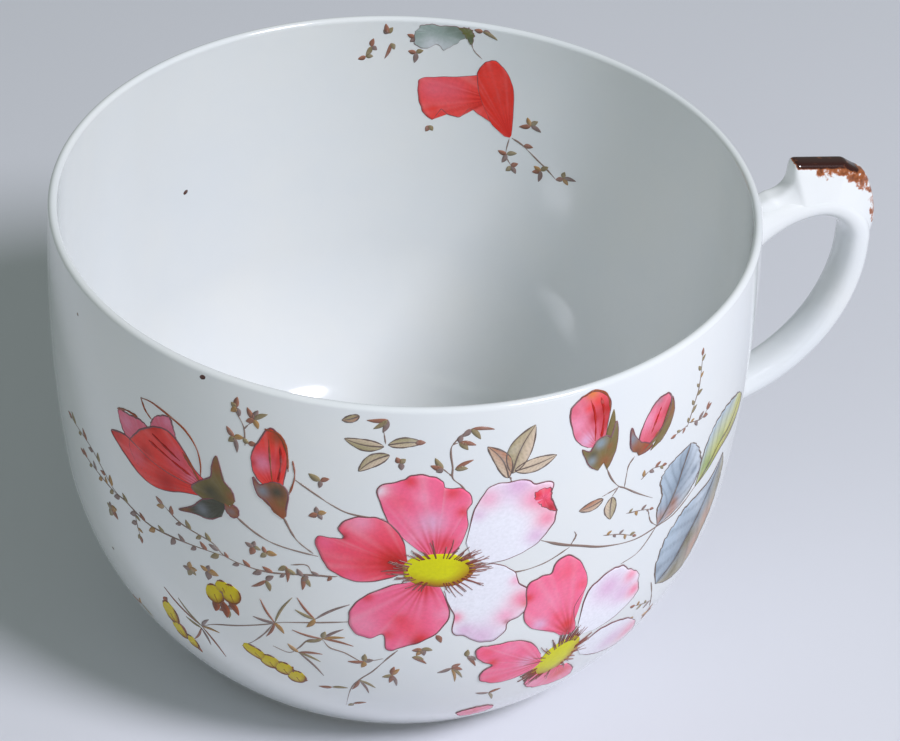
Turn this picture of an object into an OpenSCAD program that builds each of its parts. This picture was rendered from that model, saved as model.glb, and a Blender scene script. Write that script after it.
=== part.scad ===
// Porcelain tea cup with a flat base: a jiggered bowl on a low turned foot ring,
// with a moulded loop handle that is luted to the wall with slip at both ends and
// carries a bevelled thumb rest. Millimetres, +Z up, the cup's axis on Z, the foot
// standing on z = 0 and the handle on +X.

/* [Bowl] */
// Outer radius at the lip
rim_r = 45; // [44.6:0.1:45.2]
// Total height from the table to the lip
height = 65; // [60:1:70]
// Outer radius at the widest place of the wall
belly_r = 45.5; // [45.3:0.1:45.9]
// Height of the widest place of the wall
belly_z = 51; // [48:1:54]
// Angle at which the wall turns into the lower curve, in degrees
knee_angle = 6.3; // [5:0.1:7]
// Radius of the lower curve, outside
knee_arc = 44.5; // [43:0.5:46]
// Thickness of the wall at the lower curve
wall_t = 2.2; // [1.8:0.1:2.8]
// Thickness of the wall at the lip
lip_t = 1.3; // [1.1:0.1:1.7]
// Thickness of the base over the foot
base_t = 3; // [2.5:0.1:4]
// Radius between the floor and the wall, inside
floor_fillet = 14; // [10:0.5:16]

/* [Foot ring] */
// Outer radius of the foot ring
foot_r = 28.5; // [26:0.1:29]
// Height of the foot ring
foot_h = 1.6; // [1.2:0.1:2]
// Width of the ring that the cup stands on
foot_w = 3.4; // [2.5:0.1:5]

/* [Handle] */
// Width of the strap, across the handle
strap_w = 6.2; // [5.8:0.1:7]
// Thickness of the strap
strap_t = 3.8; // [3.5:0.1:4]
// Distance from the cup's axis to the highest point of the loop
crest_x = 57; // [56.5:0.5:58]
// Height of the strap's middle at its highest point
crest_z = 55.4; // [55:0.1:56]
// Bend from the wall up to the highest point
root_bend = 18.3; // [18:0.1:19]
// Bend over the outer corner
crest_bend = 6.7; // [6.4:0.1:7]
// Straight length below the outer corner
back_straight = 1.2; // [0.5:0.1:2]
// Bend from the back of the loop down to the wall
back_bend = 23; // [22.8:0.1:23.4]
// How far the strap's underside comes down at its upper end
root_drop = 3.6; // [2.8:0.1:4]
// How much the strap widens to each side at its upper end
upper_flare = 1.1; // [0.6:0.1:1.3]
// How much the strap spreads all round at its lower end
lower_flare = 0.8; // [0.4:0.1:1]

/* [Thumb rest] */
// Distance from the axis to the inner face of the thumb rest
rest_inner_x = 53.1; // [52.8:0.1:53.4]
// Height of the thumb rest at its inner end
rest_top_z = 61.9; // [61.4:0.1:62.5]
// Length of the flat top
rest_flat = 7.3; // [7:0.1:7.6]
// Drop of the flat top over its length
rest_drop = 1; // [0.8:0.1:1.4]
// Radius of the hollow that runs up to the inner face
rest_hollow = 2.9; // [2.5:0.1:3.2]
// Width of the thumb rest at its flat top
rest_top_w = 2.6; // [2:0.1:3.4]
// Width of the thumb rest where it sits on the strap
rest_base_w = 5.8; // [5.2:0.1:5.8]

/* [Slip joints] */
// Thickness of the slip between the strap's end and the wall
lute_t = 0.9; // [0.6:0.1:1.2]
// How far the slip spreads past the strap on the wall
lute_flare = 0.8; // [0.5:0.1:1.2]

/* [Hidden] */
$fn = 180;
// The outer wall: one wide arc through the lip and the widest place
wall_arc = (pow(height - belly_z, 2) + pow(belly_r - rim_r, 2)) / (2 * (belly_r - rim_r));
wall_c = [belly_r - wall_arc, belly_z];
// The lower curve, tangent to the wall where it has turned by the knee angle
knee_dir = [cos(knee_angle), -sin(knee_angle)];
knee_c = wall_c + (wall_arc - knee_arc) * knee_dir;
// The floor's fillet, tangent to the floor and to the inside of the lower curve
floor_z = foot_h + base_t;
inner_knee = knee_arc - wall_t;
fillet_dz = floor_z + floor_fillet - knee_c[1];
fillet_c = [knee_c[0] + sqrt(pow(inner_knee - floor_fillet, 2) - pow(fillet_dz, 2)), floor_z + floor_fillet];
fillet_a = asin(fillet_dz / (inner_knee - floor_fillet));
// The lip is a full round as thick as the wall is there
lip_r = lip_t / 2;
lip_a = asin((height - lip_r - belly_z) / (wall_arc - lip_r));
lip_c = wall_c + (wall_arc - lip_r) * [cos(lip_a), sin(lip_a)];
// Wider than anything a cut has to clear
clear = 2 * belly_r;

// Handle: where the bends have their centres, and where the strap meets the wall
root_c = [crest_x, crest_z - root_bend];
crest_c = [crest_x, crest_z - crest_bend];
back_x = crest_x + crest_bend;
back_top_z = crest_z - crest_bend;
back_c = [back_x - back_bend, back_top_z - back_straight];
// The lower end meets the lower curve, a little inside the radius of the lip
lower_inset = 1.5;
lower_root_a = -acos((rim_r - lower_inset - back_c[0]) / back_bend);
// Stations along the strap's three bends, and where the bend over the corner takes up
root_n = 16;
crest_n = 12;
back_n = 26;
crest_start_a = 83;
// How the root's underside and sides run out to the wall, as powers of the way there
drop_power = 1.8;
side_power = 4;
// How far the strap's upper end runs into the wall
root_end_x = belly_r - 2.2;
// Where the strap's lower end starts to spread and where it has run into the wall, in degrees
flare_sweep = 18;
into_wall = 5;
// The strap's oval: points round it, and how square it is (2 is an ellipse)
section_n = 24;
section_power = 2.4;
// Degrees of the back's bend over which the slip comes down to the strap
lute_run = 2 * lute_t * 180 / PI / back_bend;
// The thumb rest's outer shoulder, as steps out and down from the end of its flat top
rest_shoulder = [[1.6, -1.1], [2.9, -1.8], [3.5, -2.8], [4.6, -5.5], [5.1, -7.9], [5.2, -9.5]];
// How far the rest's toe runs on towards the wall, down into the strap
rest_toe = 2.6;
// The rest's small bevel, and the angles at which its underside lies on the middle of the strap
rest_bevel = 0.4;
rest_under_a = [12, 35, 58, 80];

porcelain = "#f3f5f4";
biscuit = "#e9e4da";
brown = "#6b3013";

// Points of an arc from angle a0 to a1, without its first point
function arc(c, r, a0, a1, n) = [for (i = [1:n]) let (a = a0 + (a1 - a0) * i / n) c + r * [cos(a), sin(a)]];

// Outer curve from the foot up to the lip, grown outwards by grow
function outer_curve(grow) = let (r = knee_arc + grow, foot_a = -asin((knee_c[1] - foot_h) / r)) concat(
    [knee_c + r * [cos(foot_a), sin(foot_a)]],
    arc(knee_c, r, foot_a, -knee_angle, 24),
    arc(wall_c, wall_arc + grow, -knee_angle, lip_a, 16)
);

// Inner side of the wall from the lip down to the knee, thickening on the way, without its first point
inner_wall_n = 16;
inner_wall = [
    for (i = [1:inner_wall_n])
        let (k = i / inner_wall_n, a = lip_a - (lip_a + knee_angle) * k)
            wall_c + (wall_arc - lip_t - (wall_t - lip_t) * k) * [cos(a), sin(a)]
];

// Inner curve from the lip down to the edge of the floor
inner_curve = concat(
    inner_wall,
    arc(knee_c, inner_knee, -knee_angle, fillet_a, 16),
    arc(fillet_c, floor_fillet, fillet_a, -90, 14)
);

// Solid inside the outer curve, grown outwards by grow, for cutting other pieces to the wall
module wall_solid(grow) {
    curve = outer_curve(grow);
    top = curve[len(curve) - 1];
    rotate_extrude($fn = 720) polygon(concat([[0, foot_h]], curve, [[0, top[1]]]));
}

// The bowl: wall, base and full-round lip in one jiggered piece
module bowl() {
    lip = arc(lip_c, lip_r, lip_a, lip_a + 180, 16);
    color(porcelain) rotate_extrude()
        polygon(concat([[0, foot_h]], outer_curve(0), lip, inner_curve, [[0, floor_z]]));
}

// The unglazed ring under the base that the cup stands on
module foot_ring() {
    edge = 0.4;
    color(biscuit) rotate_extrude() difference() {
        translate([foot_r - foot_w, 0]) square([foot_w, foot_h]);
        for (x = [foot_r - foot_w, foot_r]) translate([x, 0]) rotate(45) square(edge * sqrt(2), center = true);
    }
}

// Section of the strap, a rounded oval: thickness on X and width on Y, from their halves
function section(half_t, half_w) = [
    for (i = [0:section_n - 1])
        let (c = cos(360 * i / section_n), s = sin(360 * i / section_n), e = 2 / section_power)
            [half_t * sign(c) * pow(abs(c), e), half_w * sign(s) * pow(abs(s), e)]
];

// Station of a bend: the strap's middle in the handle's plane, its angle and half sizes grown by spread
function bend_station(c, r, a, spread) = [
    c[0] + r * cos(a), c[1] + r * sin(a), a, strap_t / 2 + spread, strap_w / 2 + spread
];

// Station of the root, upright at x: its top follows the bend, its underside drops towards the wall
function root_station(x, spread) = let (
    way = (crest_x - x) / (crest_x - belly_r),
    top = root_c[1] + sqrt(pow(root_bend + strap_t / 2, 2) - pow(crest_x - x, 2)),
    plain = root_c[1] + sqrt(pow(root_bend - strap_t / 2, 2) - pow(crest_x - x, 2)),
    under = plain - root_drop * pow(way, drop_power)
) [x, (top + under) / 2, 90, (top - under) / 2 + spread, strap_w / 2 + upper_flare * pow(way, side_power) + spread];

// Spread of the strap at an angle of its back, most where it meets the wall
function lower_spread(a) = lower_flare * pow(max(0, 1 - (a - lower_root_a) / flare_sweep), 2);

// Solid through the strap's section at stations from the upper end to the lower one
module sweep(stations) {
    m = len(stations);
    points = [
        for (s = stations)
            for (p = section(s[3], s[4]))
                [s[0] + p[0] * cos(s[2]), p[1], s[1] + p[0] * sin(s[2])]
    ];
    sides = [
        for (k = [0:m - 2])
            for (i = [0:section_n - 1])
                let (j = (i + 1) % section_n, a = k * section_n, b = a + section_n)
                    each [[a + i, b + j, b + i], [a + i, a + j, b + j]]
    ];
    ends = [[for (i = [section_n - 1:-1:0]) i], [for (i = [0:section_n - 1]) (m - 1) * section_n + i]];
    polyhedron(points, concat(sides, ends));
}

// The strap from wall to wall, running on into the wall at both ends, where it spreads
module strap() {
    lower_end_a = lower_root_a - into_wall;
    sweep(concat(
        [for (i = [0:root_n]) root_station(root_end_x + (crest_x - root_end_x) * i / root_n, 0)],
        [for (i = [0:crest_n]) bend_station(crest_c, crest_bend, crest_start_a * (1 - i / crest_n), 0)],
        [for (i = [0:back_n]) let (a = lower_end_a * i / back_n) bend_station(back_c, back_bend, a, lower_spread(a))]
    ));
}

// The loop, its ends cut to the curve of the wall with room for the slip
module handle_loop() {
    color(porcelain) difference() {
        strap();
        wall_solid(lute_t);
    }
}

// Bevelled rest for the thumb on the loop's outer corner, its top washed with brown
module thumb_rest() {
    flat_start = [rest_inner_x + rest_bevel, rest_top_z];
    flat_end = flat_start + [rest_flat, -rest_drop];
    hollow_c = [rest_inner_x - rest_hollow, crest_z + strap_t / 2 - rest_bevel + rest_hollow];
    side = concat(
        [[hollow_c[0] - rest_toe, hollow_c[1] - rest_hollow - strap_t / 2 - rest_toe / 2]],
        [hollow_c + [0, -rest_hollow]],
        arc(hollow_c, rest_hollow, -90, 0, 8),
        [[rest_inner_x, rest_top_z - rest_bevel], flat_start, flat_end],
        [for (step = rest_shoulder) flat_end + step],
        [for (a = rest_under_a) crest_c + crest_bend * [cos(a), sin(a)]],
        [[crest_x, crest_z]]
    );
    half_base = rest_base_w / 2;
    half_top = rest_top_w / 2;
    color(brown) difference() {
        intersection() {
            rotate([90, 0, 0]) linear_extrude(rest_base_w, center = true) polygon(side);
            rotate([90, 0, 90]) linear_extrude(clear) polygon([
                [-half_base, 0],
                [half_base, 0],
                [half_base, crest_z],
                [half_top, rest_top_z],
                [-half_top, rest_top_z],
                [-half_base, crest_z],
            ]);
        }
        strap();
    }
}

// A skirt of slip between the wall and an end of the strap, cut from a wider sweep over its stations
module lute(stations) {
    color(porcelain) difference() {
        intersection() {
            sweep(stations);
            wall_solid(lute_t);
        }
        wall_solid(0);
    }
}

// The upper skirt, widest on the wall
module upper_lute() {
    outer_x = belly_r + 2 * lute_t;
    lute([for (k = [1, 0.5, 0]) root_station(outer_x - (outer_x - root_end_x) * k, k * lute_flare)]);
}

// The lower skirt, widest on the wall
module lower_lute() {
    start_a = lower_root_a + lute_run;
    sweep_a = lute_run + into_wall;
    lute([for (k = [0, 0.5, 1]) bend_station(back_c, back_bend, start_a - sweep_a * k, lower_flare + k * lute_flare)]);
}

bowl();
foot_ring();
handle_loop();
thumb_rest();
upper_lute();
lower_lute();
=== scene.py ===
import bpy
import numpy as np
from mathutils import Matrix, Vector


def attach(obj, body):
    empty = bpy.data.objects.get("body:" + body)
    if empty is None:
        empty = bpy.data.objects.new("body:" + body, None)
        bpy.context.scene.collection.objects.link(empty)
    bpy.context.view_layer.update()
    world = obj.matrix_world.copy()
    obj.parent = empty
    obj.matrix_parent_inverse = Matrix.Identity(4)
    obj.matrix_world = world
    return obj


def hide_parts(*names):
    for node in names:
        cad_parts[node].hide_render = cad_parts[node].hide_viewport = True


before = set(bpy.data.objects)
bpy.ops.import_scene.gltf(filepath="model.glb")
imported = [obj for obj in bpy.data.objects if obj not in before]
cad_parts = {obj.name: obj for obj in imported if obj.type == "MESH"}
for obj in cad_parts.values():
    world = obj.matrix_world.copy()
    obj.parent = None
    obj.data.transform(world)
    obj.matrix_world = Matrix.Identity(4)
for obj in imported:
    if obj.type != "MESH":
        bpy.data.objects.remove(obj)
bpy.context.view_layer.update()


# Bowl: wall, base and rolled lip of a tea cup, jiggered from one bat of porcelain and glazed.
# Outside it is one wide arc that turns into a lower curve at the knee; the wall thins towards
# the lip, and inside the lower curve rounds into a flat floor.
MM = 0.001
WALL_ARC = 196.25
WALL_CENTRE = (-150.75, 51.0)
KNEE_ANGLE = np.radians(6.3)
KNEE_ARC = 44.5
KNEE_CENTRE = (
    WALL_CENTRE[0] + (WALL_ARC - KNEE_ARC) * np.cos(KNEE_ANGLE),
    WALL_CENTRE[1] - (WALL_ARC - KNEE_ARC) * np.sin(KNEE_ANGLE),
)
WALL_THICK = 2.2
LIP_THICK = 1.15
FLOOR_Z = 4.6
FLOOR_ROUND = 14.0
FOOT_TOP = 1.6
UNDER_FROM, UNDER_TO = 4.0, 27.0
FLOOR_TO = 3.0
RIM_Z = 65.0
LIP_ROUND = LIP_THICK / 2
LIP_CROWD = 1.7
LIP_ANGLE = np.arcsin((RIM_Z - LIP_ROUND - WALL_CENTRE[1]) / (WALL_ARC - LIP_ROUND))
PORCELAIN = (0.785, 0.81, 0.825, 1.0)
PORCELAIN_WARM = (0.82, 0.83, 0.82, 1.0)
IRON_SPECK = (0.20, 0.12, 0.07, 1.0)


def arc(centre, radius, start, end, count, crowd=1.0):
    """Arc between two angles as (count, 2) of radius from the axis and height.

    The radius may be an array; crowd over 1 packs the points towards the start."""
    angle = start + (end - start) * np.linspace(0, 1, count) ** crowd
    return np.stack([centre[0] + radius * np.cos(angle), centre[1] + radius * np.sin(angle)], axis=-1)


def wall_thickness(lean):
    """Thickness of the wall where it leans by an angle: thin at the lip, full at the knee and below."""
    down = np.clip((LIP_ANGLE - lean) / (LIP_ANGLE + KNEE_ANGLE), 0, 1)
    return LIP_THICK + (WALL_THICK - LIP_THICK) * down


def bowl_profile():
    """Half section of the bowl from the underside, up the outside, over the lip and down inside.

    Tangent arcs: lower curve, wall and half-round lip, then the wall and lower curve again one
    thickness in, and the round into the floor."""
    lip_centre = arc(WALL_CENTRE, WALL_ARC - LIP_ROUND, LIP_ANGLE, LIP_ANGLE, 1)[0]
    foot_angle = -np.arcsin((KNEE_CENTRE[1] - FOOT_TOP) / KNEE_ARC)
    inner_knee = KNEE_ARC - WALL_THICK
    drop = FLOOR_Z + FLOOR_ROUND - KNEE_CENTRE[1]
    round_angle = np.arcsin(drop / (inner_knee - FLOOR_ROUND))
    round_centre = arc(KNEE_CENTRE, inner_knee - FLOOR_ROUND, round_angle, round_angle, 1)[0]
    under = np.stack([np.linspace(UNDER_FROM, UNDER_TO, 6), np.full(6, FOOT_TOP)], axis=-1)
    floor = np.stack([np.linspace(round_centre[0] - 1.5, FLOOR_TO, 8), np.full(8, FLOOR_Z)], axis=-1)
    lean = LIP_ANGLE - (LIP_ANGLE + KNEE_ANGLE) * np.linspace(0, 1, 44) ** LIP_CROWD
    return np.concatenate([
        under,
        arc(KNEE_CENTRE, KNEE_ARC, foot_angle, -KNEE_ANGLE, 44)[:-1],
        arc(WALL_CENTRE, WALL_ARC, LIP_ANGLE, -KNEE_ANGLE, 44, LIP_CROWD)[:0:-1],
        arc(lip_centre, LIP_ROUND, LIP_ANGLE, LIP_ANGLE + np.pi, 19)[:-1],
        arc(WALL_CENTRE, WALL_ARC - wall_thickness(lean), LIP_ANGLE, -KNEE_ANGLE, 44, LIP_CROWD)[:-1],
        arc(KNEE_CENTRE, inner_knee, -KNEE_ANGLE, round_angle, 24)[:-1],
        arc(round_centre, FLOOR_ROUND, round_angle, -np.pi / 2, 24),
        floor,
    ])


def closed_skin(rings, first, last):
    """Vertices, quads and triangles of a skin over rings (rings, points, 3).

    Each ring joins round to its own start, neighbours are joined by quads, and both ends are
    closed by a fan to one middle point. Faces look outwards where ring direction crossed with
    the direction from ring to ring points out."""
    count, around = rings.shape[:2]
    step = np.arange(around)
    turn = (step + 1) % around
    base = np.arange(count - 1)[:, None] * around
    quads = np.stack([base + step, base + turn, base + turn + around, base + step + around], axis=-1)
    end = (count - 1) * around
    tips = count * around
    fan = np.stack([np.full(around, tips), turn, step], axis=-1)
    fan_end = np.stack([np.full(around, tips + 1), end + step, end + turn], axis=-1)
    vertices = np.concatenate([rings.reshape(-1, 3), [first, last]])
    return vertices, quads.reshape(-1, 4), np.concatenate([fan, fan_end])


def make_piece(name, vertices, quads, triangles, material, slot):
    """Smooth mesh object from arrays in millimetres, riding on the cup's one body."""
    mesh = bpy.data.meshes.new(name)
    mesh.from_pydata((np.asarray(vertices) * MM).tolist(), [], quads.tolist() + triangles.tolist())
    mesh.polygons.foreach_set("use_smooth", np.ones(len(mesh.polygons), dtype=bool))
    mesh.materials.append(material)
    mesh.update()
    piece = bpy.data.objects.new(name, mesh)
    bpy.context.scene.collection.objects.link(piece)
    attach(piece, "root")
    return piece


def revolve(profile, around=360):
    """Rings of a turned piece: each profile point (radius, height) carried once round the Z axis."""
    turn = np.linspace(0, 2 * np.pi, around, endpoint=False)
    radius = profile[:, :1]
    height = np.broadcast_to(profile[:, 1:], (len(profile), around))
    return np.stack([radius * np.cos(turn), radius * np.sin(turn), height], axis=-1)


def node(tree, kind, **values):
    """Adds one shader node, with attributes by name and sockets by name after 'in_'."""
    made = tree.nodes.new(kind)
    for key, value in values.items():
        if key.startswith("in_"):
            made.inputs[key[3:].replace("_", " ")].default_value = value
        else:
            setattr(made, key, value)
    return made


def ramp(tree, *stops):
    """Colour ramp with (place, colour) stops."""
    made = tree.nodes.new("ShaderNodeValToRGB")
    made.color_ramp.elements[0].position = stops[0][0]
    made.color_ramp.elements[0].color = stops[0][1]
    made.color_ramp.elements[1].position = stops[-1][0]
    made.color_ramp.elements[1].color = stops[-1][1]
    for place, colour in stops[1:-1]:
        made.color_ramp.elements.new(place).color = colour
    return made


def glaze_group():
    """Node group: the cloudy whites, kiln specks and ripple of a clear glaze, from Object coordinates."""
    tree = bpy.data.node_groups.new("glaze_marks", "ShaderNodeTree")
    tree.interface.new_socket("Body", in_out="INPUT", socket_type="NodeSocketColor")
    tree.interface.new_socket("Cloud", in_out="INPUT", socket_type="NodeSocketColor")
    tree.interface.new_socket("Color", in_out="OUTPUT", socket_type="NodeSocketColor")
    tree.interface.new_socket("Roughness", in_out="OUTPUT", socket_type="NodeSocketFloat")
    tree.interface.new_socket("Height", in_out="OUTPUT", socket_type="NodeSocketFloat")
    link = tree.links.new
    given = node(tree, "NodeGroupInput")
    out = node(tree, "NodeGroupOutput")
    place = node(tree, "ShaderNodeTexCoord")
    cloud = node(tree, "ShaderNodeTexNoise", in_Scale=45.0, in_Detail=4.0, in_Roughness=0.6)
    link(place.outputs["Object"], cloud.inputs["Vector"])
    blend = node(tree, "ShaderNodeMix", data_type="RGBA")
    spread = ramp(tree, (0.35, (0, 0, 0, 1)), (0.7, (1, 1, 1, 1)))
    link(cloud.outputs["Fac"], spread.inputs["Fac"])
    link(spread.outputs["Color"], blend.inputs["Factor"])
    link(given.outputs["Body"], blend.inputs["A"])
    link(given.outputs["Cloud"], blend.inputs["B"])
    cells = node(tree, "ShaderNodeTexVoronoi", in_Scale=75.0, in_Randomness=1.0)
    link(place.outputs["Object"], cells.inputs["Vector"])
    pin = ramp(tree, (0.012, (1, 1, 1, 1)), (0.022, (0, 0, 0, 1)))
    link(cells.outputs["Distance"], pin.inputs["Fac"])
    few = node(tree, "ShaderNodeSeparateColor")
    link(cells.outputs["Color"], few.inputs["Color"])
    chosen = node(tree, "ShaderNodeMath", operation="GREATER_THAN")
    chosen.inputs[1].default_value = 0.55
    link(few.outputs["Red"], chosen.inputs[0])
    mark = node(tree, "ShaderNodeMath", operation="MULTIPLY")
    link(pin.outputs["Color"], mark.inputs[0])
    link(chosen.outputs[0], mark.inputs[1])
    speck = node(tree, "ShaderNodeMix", data_type="RGBA")
    speck.inputs["B"].default_value = IRON_SPECK
    link(mark.outputs[0], speck.inputs["Factor"])
    link(blend.outputs["Result"], speck.inputs["A"])
    link(speck.outputs["Result"], out.inputs["Color"])
    rub = node(tree, "ShaderNodeTexNoise", in_Scale=160.0, in_Detail=3.0)
    link(place.outputs["Object"], rub.inputs["Vector"])
    gloss = node(tree, "ShaderNodeMapRange", in_To_Min=0.07, in_To_Max=0.16)
    link(rub.outputs["Fac"], gloss.inputs["Value"])
    link(gloss.outputs["Result"], out.inputs["Roughness"])
    ripple = node(tree, "ShaderNodeTexNoise", in_Scale=70.0, in_Detail=2.0)
    link(place.outputs["Object"], ripple.inputs["Vector"])
    link(ripple.outputs["Fac"], out.inputs["Height"])
    return tree


def new_material(name):
    """Empty node material; returns it with its tree and its Principled shader."""
    material = bpy.data.materials.new(name)
    material.use_nodes = True
    return material, material.node_tree, material.node_tree.nodes["Principled BSDF"]


GLAZE_MARKS = glaze_group()


def add_glaze(tree, body, cloud):
    """Places the glaze marks in a material, with the body's two whites."""
    marks = node(tree, "ShaderNodeGroup", node_tree=GLAZE_MARKS)
    marks.inputs["Body"].default_value = body
    marks.inputs["Cloud"].default_value = cloud
    return marks


def glazed_porcelain():
    """Glossy white porcelain under a rippled clear glaze."""
    material, tree, shader = new_material("glazed_porcelain")
    marks = add_glaze(tree, PORCELAIN, PORCELAIN_WARM)
    tree.links.new(marks.outputs["Color"], shader.inputs["Base Color"])
    tree.links.new(marks.outputs["Roughness"], shader.inputs["Roughness"])
    bump = node(tree, "ShaderNodeBump", in_Strength=0.12, in_Distance=0.0006)
    tree.links.new(marks.outputs["Height"], bump.inputs["Height"])
    tree.links.new(bump.outputs["Normal"], shader.inputs["Normal"])
    shader.inputs["IOR"].default_value = 1.5
    shader.inputs["Coat Weight"].default_value = 0.4
    shader.inputs["Coat Roughness"].default_value = 0.04
    return material


GLAZED = glazed_porcelain()
bowl = make_piece(
    "bowl_body",
    *closed_skin(revolve(bowl_profile()), (0, 0, FOOT_TOP), (0, 0, FLOOR_Z)),
    GLAZED,
    "porcelain",
)
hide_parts("bowl")


# Foot ring: the low unglazed ring that the cup stands on, turned on the base before firing.
# Its edges are softened and its bare clay is warmer and rougher than the glaze.
FOOT_OUT = 28.5
FOOT_IN = 25.1
FOOT_EDGE = 0.4
BISCUIT = (0.70, 0.65, 0.57, 1.0)
BISCUIT_GREY = (0.50, 0.47, 0.42, 1.0)


def foot_section():
    """Closed half section of the ring: flat sole with two rounded edges, its top under the base."""
    corner_out = arc((FOOT_OUT - FOOT_EDGE, FOOT_EDGE), FOOT_EDGE, -np.pi / 2, 0, 7)
    corner_in = arc((FOOT_IN + FOOT_EDGE, FOOT_EDGE), FOOT_EDGE, -np.pi, -np.pi / 2, 7)
    top = np.array([[FOOT_OUT, FOOT_TOP + 0.3], [FOOT_IN, FOOT_TOP + 0.3]])
    return np.concatenate([corner_out, top, corner_in])


def closed_ring(rings):
    """Vertices and quads of a skin that joins up both round each ring and from last ring to first."""
    count, around = rings.shape[:2]
    step = np.arange(around)
    turn = (step + 1) % around
    base = np.arange(count)[:, None] * around
    after = ((np.arange(count) + 1) % count)[:, None] * around
    quads = np.stack([base + step, base + turn, after + turn, after + step], axis=-1)
    return rings.reshape(-1, 3), quads.reshape(-1, 4), np.zeros((0, 3), dtype=int)


def bare_biscuit():
    """Unglazed clay: fine grit, greyed where it has stood on trays."""
    material, tree, shader = new_material("bare_biscuit")
    place = node(tree, "ShaderNodeTexCoord")
    grime = node(tree, "ShaderNodeTexNoise", in_Scale=220.0, in_Detail=6.0, in_Roughness=0.7)
    tree.links.new(place.outputs["Object"], grime.inputs["Vector"])
    tone = ramp(tree, (0.35, BISCUIT_GREY), (0.6, BISCUIT))
    tree.links.new(grime.outputs["Fac"], tone.inputs["Fac"])
    tree.links.new(tone.outputs["Color"], shader.inputs["Base Color"])
    grit = node(tree, "ShaderNodeTexNoise", in_Scale=2600.0, in_Detail=3.0)
    tree.links.new(place.outputs["Object"], grit.inputs["Vector"])
    bump = node(tree, "ShaderNodeBump", in_Strength=0.4, in_Distance=0.0001)
    tree.links.new(grit.outputs["Fac"], bump.inputs["Height"])
    tree.links.new(bump.outputs["Normal"], shader.inputs["Normal"])
    shader.inputs["Roughness"].default_value = 0.8
    return material


foot = make_piece("foot_ring_turned", *closed_ring(revolve(foot_section(), 240)), bare_biscuit(), "biscuit")
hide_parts("foot_ring")


# Handle loop: an oval strap pressed in a two-part mould, bent up from the wall, over a tight
# outer corner and back down in one long sweep. Its upper root deepens like a bracket towards
# the wall, and its lower end spreads a little all round.
STRAP_HALF_W = 3.1
STRAP_HALF_T = 1.9
OVAL_POWER = 2.4
STRAP_AROUND = 48
ROOT_CENTRE, ROOT_BEND = (57.0, 37.1), 18.3
ROOT_WALL = 45.5
ROOT_SUNK = 1.8
ROOT_DROP = 3.6
ROOT_SIDE = 1.1
CREST_CENTRE, CREST_BEND = (57.0, 48.7), 6.7
BACK_CENTRE, BACK_BEND = (40.7, 47.5), 23.0
LOWER_ROOT = np.radians(-83.0)
LOWER_SPREAD = 0.8
SPREAD_OVER = np.radians(18.0)
END_DEPTH = 0.7


def oval_rings(x, z, angle, half_t, half_w):
    """Rings of the strap's rounded oval, a superellipse, one for each place of its middle line.

    Half the thickness lies to each side along the angle in the handle's plane, the width across it."""
    turn = np.linspace(0, 2 * np.pi, STRAP_AROUND, endpoint=False)
    power = 2 / OVAL_POWER
    thick = np.multiply.outer(half_t, np.sign(np.cos(turn)) * np.abs(np.cos(turn)) ** power)
    wide = np.multiply.outer(half_w, np.sign(np.sin(turn)) * np.abs(np.sin(turn)) ** power)
    out = x[:, None] + thick * np.cos(angle)[:, None]
    up = z[:, None] + thick * np.sin(angle)[:, None]
    return np.stack([out, wide, up], axis=-1)


def bend_rings(centre, bend, angle, spread):
    """Rings of the strap round a bend, one for each angle, grown all round by a spread."""
    x = centre[0] + bend * np.cos(angle)
    z = centre[1] + bend * np.sin(angle)
    return oval_rings(x, z, angle, STRAP_HALF_T + spread, STRAP_HALF_W + spread)


def lower_rings(angle):
    """The back of the loop, spreading as a square towards its lower root."""
    spread = LOWER_SPREAD * np.clip(1 - (angle - LOWER_ROOT) / SPREAD_OVER, 0, 1.2) ** 2
    return bend_rings(BACK_CENTRE, BACK_BEND, angle, spread)


def upper_rings(x):
    """Upright rings of the upper root: the top follows the bend, the underside drops to the wall."""
    back = ROOT_CENTRE[0] - x
    way = back / (ROOT_CENTRE[0] - ROOT_WALL)
    top = ROOT_CENTRE[1] + np.sqrt((ROOT_BEND + STRAP_HALF_T) ** 2 - back ** 2)
    plain = ROOT_CENTRE[1] + np.sqrt((ROOT_BEND - STRAP_HALF_T) ** 2 - back ** 2)
    under = plain - ROOT_DROP * way ** 1.8
    upright = np.full(len(x), np.pi / 2)
    return oval_rings(x, (top + under) / 2, upright, (top - under) / 2, STRAP_HALF_W + ROOT_SIDE * way ** 4)


def wall_radius(z):
    """Radius of the outer wall at a height: the wide arc above the knee, the lower curve below."""
    knee_z = WALL_CENTRE[1] - WALL_ARC * np.sin(KNEE_ANGLE)
    wide = WALL_CENTRE[0] + np.sqrt(WALL_ARC ** 2 - (z - WALL_CENTRE[1]) ** 2)
    low = KNEE_CENTRE[0] + np.sqrt(np.clip(KNEE_ARC ** 2 - (z - KNEE_CENTRE[1]) ** 2, 0, None))
    return np.where(z >= knee_z, wide, low)


def to_wall(points, sink):
    """Moves points straight towards the cup's axis on to the outer wall, sunk in by sink."""
    turn = np.arctan2(points[..., 1], points[..., 0])
    radius = wall_radius(points[..., 2]) - sink
    return np.stack([radius * np.cos(turn), radius * np.sin(turn), points[..., 2]], axis=-1)


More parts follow.
